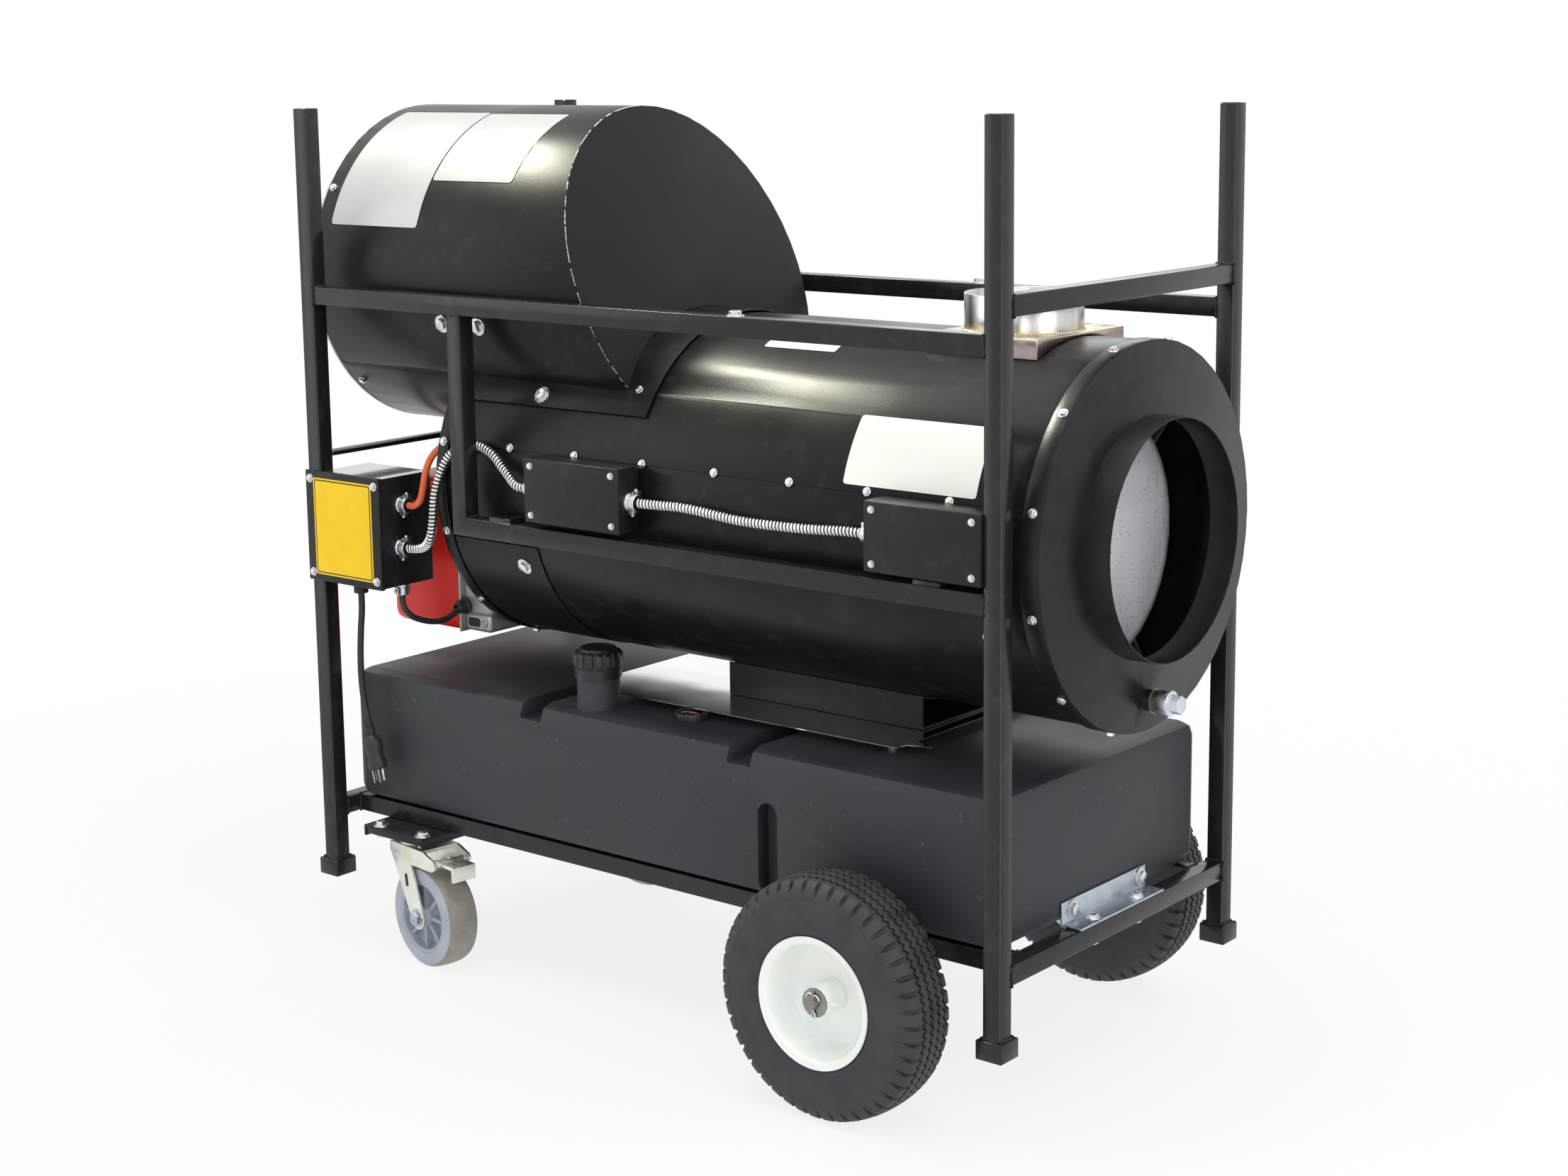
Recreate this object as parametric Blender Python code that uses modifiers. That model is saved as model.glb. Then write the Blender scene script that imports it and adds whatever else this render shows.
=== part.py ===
"""Indirect fired heater: a drum casing, a fan housing and a fuel tank in a wheeled tube frame.

The outlet end is +X, the burner end is -X, the side with the junction boxes is -Y, and the
floor is z = 0.
Lengths are in metres.  Everything is laid out about the middle of the tube frame, and hangs on one empty
that brings the middle of the whole object to x = 0.
"""
import math

import bmesh
import bpy
from mathutils import Matrix, Vector

# Driving sizes of the drum, the tank and the frame round them
drum_radius = 0.245
drum_overhang = 0.0307
rear_bay = 0.2336
axis_spacing = 0.2906
housing_step = 0.009
drum_rise = 0.0474
tank_height = 0.198
frame_length = 1.2192
post_side = 0.0254
post_wall = 0.0021
rail_gap = 0.0094
seat_gap = 0.0003
overrun = 0.01
sheet_wall = 0.0016
drum_sides = 48
wheel_sides = 24
caster_sides = 20

# What stands between the floor and the base frame at the burner end
caster_radius = 0.0762
crown_gap = 0.0235
crown_thickness = 0.005
race_height = 0.012
plate_thickness = 0.006
channel_thickness = 0.004
fork_height = 2 * caster_radius + crown_gap + crown_thickness + race_height
base_height = fork_height + plate_thickness + channel_thickness + 2 * seat_gap

half_length = frame_length / 2
inner_length = half_length - post_side
inner_width = drum_radius + rail_gap
half_width = inner_width + post_side
base_top = base_height + post_side
tank_bottom = base_top + seat_gap
tank_top = tank_bottom + tank_height
drum_axis = tank_top + drum_rise + drum_radius
housing_axis = drum_axis + axis_spacing
housing_radius = drum_radius - housing_step
drum_front = half_length + drum_overhang
drum_rear = -half_length + rear_bay
lower_sheet_radius = drum_radius - sheet_wall - seat_gap
lip_radius = drum_radius + seat_gap + sheet_wall
saddle_radius = lip_radius + seat_gap + sheet_wall
housing_overhang = 0.0177
housing_rear = -half_length - housing_overhang
guard_wire = 0.004
plug_reach = 0.050
post_rise = 0.001
frame_top = housing_axis + housing_radius + post_rise

# Finishes: colour, roughness, metallic
BLACK_PAINT = ((0.018, 0.018, 0.020), 0.38, 0.0)
MATTE_BLACK = ((0.022, 0.022, 0.023), 0.75, 0.0)
TANK_PLASTIC = ((0.030, 0.034, 0.040), 0.60, 0.0)
CREAM_PAINT = ((0.78, 0.74, 0.58), 0.30, 0.0)
TYRE_RUBBER = ((0.045, 0.045, 0.045), 0.80, 0.0)
GREY_TREAD = ((0.30, 0.28, 0.25), 0.70, 0.0)
ZINC = ((0.62, 0.58, 0.48), 0.40, 1.0)
STEEL = ((0.55, 0.55, 0.54), 0.35, 1.0)
STAINLESS = ((0.60, 0.57, 0.52), 0.25, 1.0)
BRIGHT_SHEET = ((0.80, 0.80, 0.80), 0.15, 1.0)
CAST_ALUMINIUM = ((0.58, 0.58, 0.57), 0.55, 1.0)
RED_PAINT = ((0.55, 0.03, 0.03), 0.35, 0.0)
ORANGE_PLASTIC = ((0.85, 0.25, 0.04), 0.50, 0.0)
BLACK_RUBBER = ((0.020, 0.020, 0.020), 0.60, 0.0)

for old in list(bpy.data.objects):
    bpy.data.objects.remove(old, do_unlink=True)
heater = bpy.data.collections.new("indirect_fired_heater")
cutters = bpy.data.collections.new("cutters")
for collection in (heater, cutters):
    bpy.context.scene.collection.children.link(collection)
middle = bpy.data.objects.new("heater_middle", None)
heater.objects.link(middle)
middle.location.x = -(drum_front + plug_reach + housing_rear - guard_wire - seat_gap) / 2


# Modelling helpers
def new_piece(mesh):
    piece = bpy.data.objects.new(mesh.name, mesh)
    heater.objects.link(piece)
    piece.parent = middle
    return piece


def from_bmesh(bm, name="shape"):
    mesh = bpy.data.meshes.new(name)
    bm.to_mesh(mesh)
    bm.free()
    return new_piece(mesh)


def evaluated_mesh(piece):
    bpy.context.view_layer.update()
    graph = bpy.context.evaluated_depsgraph_get()
    return bpy.data.meshes.new_from_object(piece.evaluated_get(graph))


def discard(piece):
    """Remove a helper shape, and the cutters that its modifiers use."""
    tools = [modifier.object for modifier in piece.modifiers if modifier.type == "BOOLEAN"]
    for tool in tools:
        discard(tool)
    bpy.data.objects.remove(piece, do_unlink=True)


def closed_mesh(piece):
    """Replace a curve or a screwed profile by its own mesh, with its seams welded."""
    mesh = evaluated_mesh(piece)
    bm = bmesh.new()
    bm.from_mesh(mesh)
    bmesh.ops.remove_doubles(bm, verts=bm.verts, dist=weld_distance)
    bmesh.ops.recalc_face_normals(bm, faces=bm.faces)
    bm.transform(piece.matrix_basis)
    discard(piece)
    return from_bmesh(bm)


weld_distance = 0.00001


def block(low, high):
    bm = bmesh.new()
    bmesh.ops.create_cube(bm, size=1)
    size = [abs(end - start) for start, end in zip(low, high)]
    bmesh.ops.scale(bm, vec=size, verts=bm.verts)
    bmesh.ops.translate(bm, vec=(Vector(low) + Vector(high)) / 2, verts=bm.verts)
    return from_bmesh(bm)


def rod(start, end, radius, sides=16, end_radius=None):
    start = Vector(start)
    end = Vector(end)
    along = end - start
    bm = bmesh.new()
    far_radius = radius if end_radius is None else end_radius
    bmesh.ops.create_cone(
        bm, cap_ends=True, segments=sides, radius1=radius, radius2=far_radius, depth=along.length
    )
    turn = along.to_track_quat("Z", "Y").to_matrix().to_4x4()
    bmesh.ops.transform(bm, matrix=Matrix.Translation((start + end) / 2) @ turn, verts=bm.verts)
    return from_bmesh(bm)


def place(origin, across, up):
    """Lay a flat outline's X along across, its Y along up and its depth along their cross product."""
    across = Vector(across)
    up = Vector(up)
    matrix = Matrix((across, up, across.cross(up))).transposed().to_4x4()
    matrix.translation = Vector(origin)
    return matrix


def flat_piece(outlines, depth, matrix):
    """Fill outlines, holes among them, and give them a thickness about the matrix's plane."""
    curve = bpy.data.curves.new("outline", "CURVE")
    curve.dimensions = "2D"
    curve.fill_mode = "BOTH"
    curve.extrude = depth / 2
    for outline in outlines:
        spline = curve.splines.new("POLY")
        spline.points.add(len(outline) - 1)
        for point, (x, y) in zip(spline.points, outline):
            point.co = (x, y, 0, 1)
        spline.use_cyclic_u = True
    piece = bpy.data.objects.new("outline", curve)
    heater.objects.link(piece)
    piece.matrix_basis = matrix
    return closed_mesh(piece)


def along_x(outlines, start, end):
    """Outlines in (y, z), drawn out from x = start to x = end."""
    return flat_piece(outlines, end - start, place(((start + end) / 2, 0, 0), (0, 1, 0), (0, 0, 1)))


def along_y(outlines, start, end):
    """Outlines in (x, z), drawn out from y = start to y = end."""
    return flat_piece(outlines, end - start, place((0, (start + end) / 2, 0), (1, 0, 0), (0, 0, 1)))


def along_z(outlines, start, end):
    """Outlines in (x, y), drawn out from z = start to z = end."""
    return flat_piece(outlines, end - start, place((0, 0, (start + end) / 2), (1, 0, 0), (0, 1, 0)))


def arc(centre, radius, start, end, steps):
    """Points on a circle from one angle to another, in degrees."""
    points = []
    for step in range(steps + 1):
        angle = math.radians(start + (end - start) * step / steps)
        points.append((centre[0] + radius * math.cos(angle), centre[1] + radius * math.sin(angle)))
    return points


def circle(centre, radius, sides=16):
    return arc(centre, radius, 0, 360, sides)[:-1]


def rectangle(low, high):
    return [(low[0], low[1]), (high[0], low[1]), (high[0], high[1]), (low[0], high[1])]


def turned(profile, origin, axis, sides):
    """Turn a profile of (radius, height) points about an axis; off the axis it is a closed loop."""
    bm = bmesh.new()
    verts = [bm.verts.new((radius, 0, height)) for radius, height in profile]
    if profile[0][0] > 0:
        verts.append(verts[0])
    for start, end in zip(verts, verts[1:]):
        bm.edges.new((start, end))
    mesh = bpy.data.meshes.new("profile")
    bm.to_mesh(mesh)
    bm.free()
    piece = bpy.data.objects.new("profile", mesh)
    heater.objects.link(piece)
    screw = piece.modifiers.new("turn", "SCREW")
    screw.angle = math.tau
    screw.steps = sides
    screw.render_steps = sides
    screw.use_merge_vertices = True
    screw.merge_threshold = weld_distance
    piece.matrix_basis = Matrix.Translation(origin) @ Vector(axis).to_track_quat(
        "Z", "Y"
    ).to_matrix().to_4x4()
    return closed_mesh(piece)


def on_a_flat(wheel, centre, sides, axis=(0, 1, 0)):
    """Turn a faceted wheel by half a facet, so that it stands on a flat."""
    turn = Matrix.Rotation(math.pi / sides, 4, axis)
    wheel.data.transform(Matrix.Translation(centre) @ turn @ Matrix.Translation(-Vector(centre)))
    return wheel


def wire(points, radius, radii=None):
    """A round tube along points; radii, where given, are shares of its radius."""
    curve = bpy.data.curves.new("wire", "CURVE")
    curve.dimensions = "3D"
    curve.bevel_depth = radius
    curve.bevel_resolution = 2
    curve.use_fill_caps = True
    spline = curve.splines.new("POLY")
    spline.points.add(len(points) - 1)
    for number, point in enumerate(points):
        spline.points[number].co = (*point, 1)
        spline.points[number].radius = 1 if radii is None else radii[number]
    piece = bpy.data.objects.new("wire", curve)
    heater.objects.link(piece)
    return closed_mesh(piece)


def smooth_route(points, pitch):
    """Points about a pitch apart on a smooth curve through the given ones."""
    route = [Vector(point) for point in points]
    slopes = [(route[1] - route[0]).normalized()]
    for before, point, after in zip(route, route[1:], route[2:]):
        come = point - before
        leave = after - point
        slope = come.normalized() * leave.length + leave.normalized() * come.length
        slopes.append(slope / (come.length + leave.length))
    slopes.append((route[-1] - route[-2]).normalized())
    dense = []
    for start, end, leave, arrive in zip(route, route[1:], slopes, slopes[1:]):
        length = (end - start).length
        count = max(1, round(length / pitch))
        for step in range(count):
            t = step / count
            along = start * (2 * t - 3) * t * t + end * (3 - 2 * t) * t * t + start
            bend = leave * (t - 1) ** 2 * t + arrive * (t - 1) * t * t
            dense.append(along + bend * length)
    dense.append(route[-1])
    return dense


def boolean(piece, tool, operation):
    modifier = piece.modifiers.new(operation.lower(), "BOOLEAN")
    modifier.operation = operation
    modifier.object = tool
    heater.objects.unlink(tool)
    cutters.objects.link(tool)
    tool.hide_render = True
    tool.display_type = "WIRE"
    return piece


def cut(piece, *tools):
    for tool in tools:
        boolean(piece, tool, "DIFFERENCE")
    return piece


def weld(piece, *tools):
    for tool in tools:
        boolean(piece, tool, "UNION")
    return piece


def common(piece, tool):
    return boolean(piece, tool, "INTERSECT")


def settled(piece):
    """Apply a piece's modifiers, so that it can be a cutter, be turned or be bevelled and cut again."""
    mesh = evaluated_mesh(piece)
    discard(piece)
    return new_piece(mesh)


def flipped(piece, x=1, y=1):
    """A copy on the other side of the frame's middle, with its faces turned outwards again."""
    bm = bmesh.new()
    bm.from_mesh(evaluated_mesh(piece))
    bmesh.ops.scale(bm, vec=(x, y, 1), verts=bm.verts)
    if x * y < 0:
        bmesh.ops.reverse_faces(bm, faces=bm.faces)
    return from_bmesh(bm)


def bevel(piece, width, segments):
    modifier = piece.modifiers.new("bevel", "BEVEL")
    modifier.width = width
    modifier.segments = segments
    modifier.limit_method = "ANGLE"
    return piece


def node(name, piece, finish, pivot=None, round_piece=False):
    """Name a sub-part, give it its finish, and put a moving piece's origin on its joint's axis."""
    colour, roughness, metallic = finish
    piece.name = name
    piece.data.name = name
    material = bpy.data.materials.new(name)
    material.use_nodes = True
    shader = material.node_tree.nodes["Principled BSDF"]
    shader.inputs["Base Color"].default_value = (*colour, 1)
    shader.inputs["Roughness"].default_value = roughness
    shader.inputs["Metallic"].default_value = metallic
    piece.data.materials.append(material)
    if round_piece:
        piece.data.shade_smooth()
        piece.data.set_sharp_from_angle(angle=math.radians(35))
    if pivot is not None:
        piece.data.transform(Matrix.Translation(-Vector(pivot)))
        piece.location = pivot
    return piece


# Square tubes of the frame
def tube_outlines(low, side=post_side):
    """The outer and inner squares of a tube section, from its lower corner."""
    outer = rectangle(low, (low[0] + side, low[1] + side))
    inner = rectangle(
        (low[0] + post_wall, low[1] + post_wall),
        (low[0] + side - post_wall, low[1] + side - post_wall),
    )
    return [outer, inner]


def chord(radius, height):
    """Half the width of a circle at a height from its middle."""
    return math.sqrt(radius * radius - height * height)


# Corner posts with end caps above and stacking feet below
foot_bottom = 0.1134
foot_height = 0.025
foot_side = 0.0381
foot_wall = 0.0032
foot_crown = 0.005
cap_thickness = 0.0015
cross_bar_rise = 0.0256
cross_bar_thickness = 0.006
foot_top = foot_bottom + foot_height
foot_step = (foot_side - post_side) / 2


def make_posts():
    corner = Vector((-half_length, -half_width, foot_top - foot_crown))
    post = block(corner, (-inner_length, -inner_width, frame_top))
    foot = block(
        (-half_length - foot_step, -half_width - foot_step, foot_bottom),
        (-inner_length + foot_step, -inner_width + foot_step, foot_top),
    )
    socket_step = foot_step - foot_wall
    socket = block(
        (-half_length - socket_step, -half_width - socket_step, foot_bottom - overrun),
        (-inner_length + socket_step, -inner_width + socket_step, foot_top - foot_crown),
    )
    bore = block(
        (-half_length + post_wall, -half_width + post_wall, foot_bottom - overrun),
        (-inner_length - post_wall, -inner_width - post_wall, frame_top - cap_thickness),
    )
    post = settled(cut(weld(post, foot), socket, bore))
    node("near_outlet_post", flipped(post, x=-1), BLACK_PAINT)
    node("far_outlet_post", flipped(post, x=-1, y=-1), BLACK_PAINT)
    bottom = drum_axis + cross_bar_rise
    cross_bar = block(
        (-half_length, -inner_width + seat_gap, bottom),
        (-inner_length, inner_width + post_wall / 2, bottom + cross_bar_thickness),
    )
    far_post = settled(weld(flipped(post, y=-1), cross_bar))
    node("near_burner_post", post, BLACK_PAINT)
    node("far_burner_post", far_post, BLACK_PAINT)


# Side rails, struts and cross pieces between the posts
upper_rail_drop = 0.0413
end_rail_rise = 0.0199
mid_rail_drop = 0.0569
strut_inset = 0.2748
tab_thickness = 0.006
tab_half = 0.020
mid_tab_insets = (0.064, 0.0839)
upper_tab_inset = 0.2736
upper_rail_bottom = housing_axis - upper_rail_drop
upper_rail_top = upper_rail_bottom + post_side
mid_rail_bottom = drum_axis - mid_rail_drop
mid_rail_top = mid_rail_bottom + post_side
rail_end = inner_length - seat_gap
strut_place = inner_length - strut_inset
strut_right = -strut_place + post_side
mid_tab_places = (strut_right + mid_tab_insets[0], rail_end - mid_tab_insets[1])
upper_tab_place = -half_length + upper_tab_inset


def make_upper_rails():
    rail = along_x(tube_outlines((-half_width, upper_rail_bottom)), -rail_end, rail_end)
    tab_low = upper_rail_bottom + (post_side - tab_thickness) / 2
    reach = chord(housing_radius, housing_axis - tab_low - tab_thickness) + seat_gap
    tab = block(
        (upper_tab_place - 2 * tab_half, -inner_width - post_wall / 2, tab_low),
        (upper_tab_place + 2 * tab_half, -reach, tab_low + tab_thickness),
    )
    rail = settled(weld(rail, tab))
    node("near_upper_rail", rail, BLACK_PAINT)
    node("far_upper_rail", flipped(rail, y=-1), BLACK_PAINT)
    low = (inner_length, upper_rail_top + end_rail_rise)
    end_rail = along_y(tube_outlines(low), -inner_width + seat_gap, inner_width - seat_gap)
    node("upper_end_rail", end_rail, BLACK_PAINT)


def make_mid_rails():
    rail = along_x(tube_outlines((-half_width, mid_rail_bottom)), strut_right - post_wall / 2, rail_end)
    strut = along_z(
        tube_outlines((-strut_place, -half_width)), mid_rail_bottom, upper_rail_bottom - seat_gap
    )
    tab_high = mid_rail_top + tab_thickness
    reach = chord(lower_sheet_radius, drum_axis - tab_high) + seat_gap
    for place_x in mid_tab_places:
        tab = block(
            (place_x - tab_half, -half_width + post_wall, mid_rail_top - post_wall / 2),
            (place_x + tab_half, -reach, tab_high),
        )
        weld(rail, tab)
    rail = settled(weld(rail, strut))
    node("near_mid_rail", rail, BLACK_PAINT)
    node("far_mid_rail", flipped(rail, y=-1), BLACK_PAINT)


# Base frame
base_rail_reach = inner_width - post_side
weep_radius = 0.004


def make_base_frame():
    """Four base rails, with a weep hole in each closed side rail and the axle's hangers below."""
    end = inner_width - seat_gap
    frame = along_y(tube_outlines((-half_length, base_height)), -end, end)
    weld(frame, along_y(tube_outlines((inner_length, base_height)), -end, end))
    reach = inner_length + post_wall / 2
    for side in (-1, 1):
        low_y = -base_rail_reach if side < 0 else base_rail_reach - post_side
        weld(frame, along_x(tube_outlines((low_y, base_height)), -reach, reach))
        middle_y = low_y + post_side / 2
        weld(frame, axle_hanger(middle_y))
        cut(
            frame,
            rod(
                (0, middle_y, base_height - overrun),
                (0, middle_y, base_height + overrun),
                weep_radius,
                8,
            ),
        )
    node("base_frame", settled(frame), BLACK_PAINT)


# Rear wheels on a plain axle
wheel_radius = 0.1575
wheel_width = 0.090
tyre_clearance = 0.0353
wheel_inset = 0.2308
axle_radius = 0.00795
axle_clearance = 0.00035
rim_radius = 0.086
rim_barrel_radius = 0.0797
rim_wall = 0.003
rim_dish = 0.028
hub_radius = 0.019
hub_length = 0.072
washer_thickness = 0.0025
cotter_radius = 0.002
cotter_length = 0.030
axle_tail = 0.007
hanger_width = 0.090
hanger_foot = 0.018
hanger_thickness = 0.008
tread_height_shares = (0.06, 0.34, 0.66, 0.86, 0.95, 1.0, 0.95, 0.86, 0.66, 0.34, 0.06)
tread_width_shares = (0.93, 1.0, 1.0, 0.90, 0.72, 0.0, -0.72, -0.90, -1.0, -1.0, -0.93)
wheel_place = half_length - wheel_inset
wheel_middle = base_rail_reach + tyre_clearance + wheel_width / 2
rim_half = wheel_width / 2 - seat_gap
bore_radius = axle_radius + axle_clearance
hub_end = wheel_middle + hub_length / 2
pin_place = hub_end + washer_thickness + 2 * seat_gap + cotter_radius
axle_half = pin_place + cotter_radius + axle_tail


def make_wheels():
    for side, name in ((-1, "near"), (1, "far")):
        centre = (wheel_place, side * wheel_middle, wheel_radius)
        flange_inner = rim_half - rim_wall
        bead = rim_radius + seat_gap
        tread = wheel_radius / math.cos(math.pi / wheel_sides)
        tyre = [
            (bead + share * (tread - bead), width_share * wheel_width / 2)
            for share, width_share in zip(tread_height_shares, tread_width_shares)
        ]
        seat = rim_barrel_radius + seat_gap
        tyre += [
            (bead, -flange_inner + seat_gap),
            (seat, -flange_inner + seat_gap),
            (seat, flange_inner - seat_gap),
            (bead, flange_inner - seat_gap),
        ]
        outward = (0, side, 0)
        tyre = on_a_flat(turned(tyre, centre, outward, wheel_sides), centre, wheel_sides)
        node(f"{name}_tyre", tyre, TYRE_RUBBER, centre, True)
        inside = rim_barrel_radius - rim_wall
        dish = rim_half - rim_dish
        hub_half = hub_length / 2
        rim = [
            (bore_radius, -hub_half),
            (bore_radius, hub_half),
            (hub_radius, hub_half),
            (hub_radius, dish + rim_wall),
            (inside, dish),
            (inside, rim_half),
            (rim_radius, rim_half),
            (rim_radius, flange_inner),
            (rim_barrel_radius, flange_inner),
            (rim_barrel_radius, -flange_inner),
            (rim_radius, -flange_inner),
            (rim_radius, -rim_half),
            (inside, -rim_half),
            (inside, dish - rim_wall),
            (hub_radius, dish),
            (hub_radius, -hub_half),
        ]
        rim = on_a_flat(turned(rim, centre, outward, wheel_sides), centre, wheel_sides)
        node(f"{name}_rim", rim, CREAM_PAINT, centre, True)


def make_axle():
    """The axle, with the spacers, washers and cotter pins that keep the wheels in place."""
    axle = rod(
        (wheel_place, -axle_half, wheel_radius), (wheel_place, axle_half, wheel_radius), axle_radius
    )
    hanger_outer = base_rail_reach - post_side / 2 + hanger_thickness / 2
    for side in (-1, 1):
        low = (wheel_place, side * pin_place, wheel_radius - cotter_length / 2)
        high = (wheel_place, side * pin_place, wheel_radius + cotter_length / 2)
        weld(axle, rod(low, high, cotter_radius, 8))
        rings = (
            (hanger_outer + seat_gap, hub_end - hub_length - seat_gap, hub_radius - rim_wall),
            (hub_end + seat_gap, hub_end + seat_gap + washer_thickness, hub_radius),
        )
        for inner, outer, radius in rings:
            start = (wheel_place, side * inner, wheel_radius)
            weld(axle, rod(start, (wheel_place, side * outer, wheel_radius), radius, 14))
    node("rear_axle", settled(axle), STEEL, None, True)


def axle_hanger(middle_y):
    """A plate under a base side rail, with the axle through its rounded foot."""
    top = base_height + post_wall / 2
    outline = [(wheel_place - hanger_width / 2, top), (wheel_place + hanger_width / 2, top)]
    outline += arc((wheel_place, wheel_radius), hanger_foot, 0, -180, 6)
    hole = circle((wheel_place, wheel_radius), bore_radius, 12)
    return along_y([outline, hole], middle_y - hanger_thickness / 2, middle_y + hanger_thickness / 2)


# Swivel casters under a cross channel
caster_width = 0.050
caster_inset = 0.1536
caster_spread = 0.230
caster_trail = 0.0354
near_swivel = -9
far_swivel = 7
channel_width = 0.123
channel_shift = 0.0065
channel_half = 0.277
channel_depth = 0.016
plate_length = 0.112
plate_width = 0.102
race_radius = 0.030
fork_wall = 0.004
fork_side_gap = 0.0035
fork_back = 0.030
fork_front = 0.055
fork_foot = 0.017
fork_waist = 0.022
bolt_radius = 0.006
bolt_head = 0.0095
bolt_head_height = 0.0065
bolt_clearance = 0.0003
pedal_place = 0.075
pedal_height = 0.164
pedal_lip = 0.018
pedal_pin = 0.003
pedal_barrel = 0.0058
pedal_ear = 0.009
pedal_reach = 0.112
pedal_half = 0.020
pedal_plate = 0.004
kingpin_radius = 0.008
web_share = 0.72
hub_share = 0.70
tread_share = 0.95
crown_share = 0.75
caster_place = -half_length + caster_inset
channel_centre = caster_place - channel_shift
channel_bottom = base_height - seat_gap - channel_thickness
plate_bottom = channel_bottom - plate_thickness
race_top = plate_bottom - seat_gap
crown_top = race_top - race_height
fork_inner = caster_width / 2 + fork_side_gap
fork_outer = fork_inner + fork_wall


def make_channel():
    left = channel_centre - channel_width / 2
    right = channel_centre + channel_width / 2
    top = base_height - seat_gap
    low = top - channel_depth
    outline = [
        (left, top),
        (left, low),
        (left + channel_thickness, low),
        (left + channel_thickness, channel_bottom),
        (right - channel_thickness, channel_bottom),
        (right - channel_thickness, low),
        (right, low),
        (right, top),
    ]
    channel = along_y([outline], -channel_half, channel_half)
    for side in (-1, 1):
        centre = (caster_place, side * caster_spread)
        corner = (centre[0] - plate_length / 2, centre[1] - plate_width / 2, plate_bottom)
        far_corner = (
            centre[0] + plate_length / 2, centre[1] + plate_width / 2, top - channel_thickness / 2
        )
        weld(channel, block(corner, far_corner))
        hole = rod(
            (*centre, plate_bottom - overrun),
            (*centre, channel_bottom),
            kingpin_radius + bolt_clearance,
            12,
        )
        cut(channel, hole)
    node("caster_channel", settled(channel), BLACK_PAINT)


def make_casters():
    for side, name, swivel in ((-1, "near", near_swivel), (1, "far", far_swivel)):
        kingpin = Vector((caster_place, side * caster_spread, 0))
        turn = Matrix.Translation(kingpin) @ Matrix.Rotation(math.radians(swivel), 4, "Z")
        axle = (caster_trail, caster_radius)
        pivot = (pedal_place, pedal_height)
        outline = [(-fork_back, crown_top - seat_gap), (fork_front, crown_top - seat_gap)]
        outline += arc(pivot, pedal_ear, 60, -90, 5)
        outline += [(fork_waist, pedal_height - pedal_ear)]
        outline += arc(axle, fork_foot, 0, -180, 6)
        outline += [(-fork_back, crown_top - race_height)]
        crown = block(
            (-fork_back + fork_wall, -fork_outer + seat_gap, crown_top - crown_thickness),
            (fork_front - fork_wall, fork_outer - seat_gap, crown_top),
        )
        for leg_side in (-1, 1):
            near_face = leg_side * fork_inner if leg_side > 0 else -fork_outer
            weld(crown, along_y([outline], near_face, near_face + fork_wall))
        race = rod((0, 0, crown_top - crown_thickness / 2), (0, 0, race_top), race_radius, 16)
        pin = rod((0, 0, crown_top), (0, 0, channel_bottom - seat_gap), kingpin_radius, 12)
        bolt_half = fork_outer + bolt_head_height
        shank = rod((axle[0], -bolt_half, axle[1]), (axle[0], bolt_half, axle[1]), bolt_radius, 10)
        for leg_side in (-1, 1):
            inner_face = (axle[0], leg_side * (fork_outer - fork_wall / 2), axle[1])
            outer_face = (axle[0], leg_side * (bolt_half - seat_gap), axle[1])
            weld(crown, rod(inner_face, outer_face, bolt_head, 6))
        hinge_half = fork_outer - fork_wall / 2
        hinge = rod((pivot[0], -hinge_half, pivot[1]), (pivot[0], hinge_half, pivot[1]), pedal_pin, 6)
        fork = settled(weld(crown, race, pin, shank, hinge))
        fork.data.transform(turn)
        node(f"{name}_fork", fork, ZINC, kingpin + Vector((0, 0, race_top)), True)

        tread = caster_width / 2
        rim = caster_radius / math.cos(math.pi / caster_sides)
        wheel_bore = bolt_radius + bolt_clearance
        profile = [
            (wheel_bore, -tread - fork_side_gap + seat_gap),
            (wheel_bore, tread + fork_side_gap - seat_gap),
            (wheel_bore + fork_wall, tread + fork_side_gap - seat_gap),
            (wheel_bore + fork_wall, tread * web_share),
            (caster_radius * hub_share, tread * web_share),
            (caster_radius * hub_share, tread),
            (rim * tread_share, tread),
            (rim, tread * crown_share),
        ]
        profile += [(radius, -height) for radius, height in reversed(profile[2:])]
        hub = (axle[0], 0, axle[1])
        wheel = on_a_flat(turned(profile, hub, (0, 1, 0), caster_sides), hub, caster_sides)
        wheel.data.transform(turn)
        spin_point = turn @ Vector((axle[0], 0, axle[1]))
        node(f"{name}_caster_wheel", wheel, GREY_TREAD, spin_point, True)

        barrel_end = fork_inner - fork_side_gap
        barrel = along_y(
            [
                circle(pivot, pedal_barrel, 12), circle(pivot, pedal_pin + bolt_clearance, 8)
            ], -barrel_end, barrel_end
        )
        foot_low = pivot[1] - pedal_plate / 2
        foot = block(
            (pivot[0] + pedal_pin + 2 * bolt_clearance, -pedal_half, foot_low),
            (pedal_reach, pedal_half, foot_low + pedal_plate),
        )
        lip = block(
            (pedal_reach - pedal_plate, -pedal_half, foot_low - pedal_lip),
            (pedal_reach, pedal_half, foot_low + pedal_plate / 2),
        )
        pedal = settled(weld(barrel, foot, lip))
        pedal.data.transform(turn)
        node(f"{name}_brake_pedal", pedal, ZINC, turn @ Vector((pivot[0], 0, pivot[1])), True)


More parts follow.
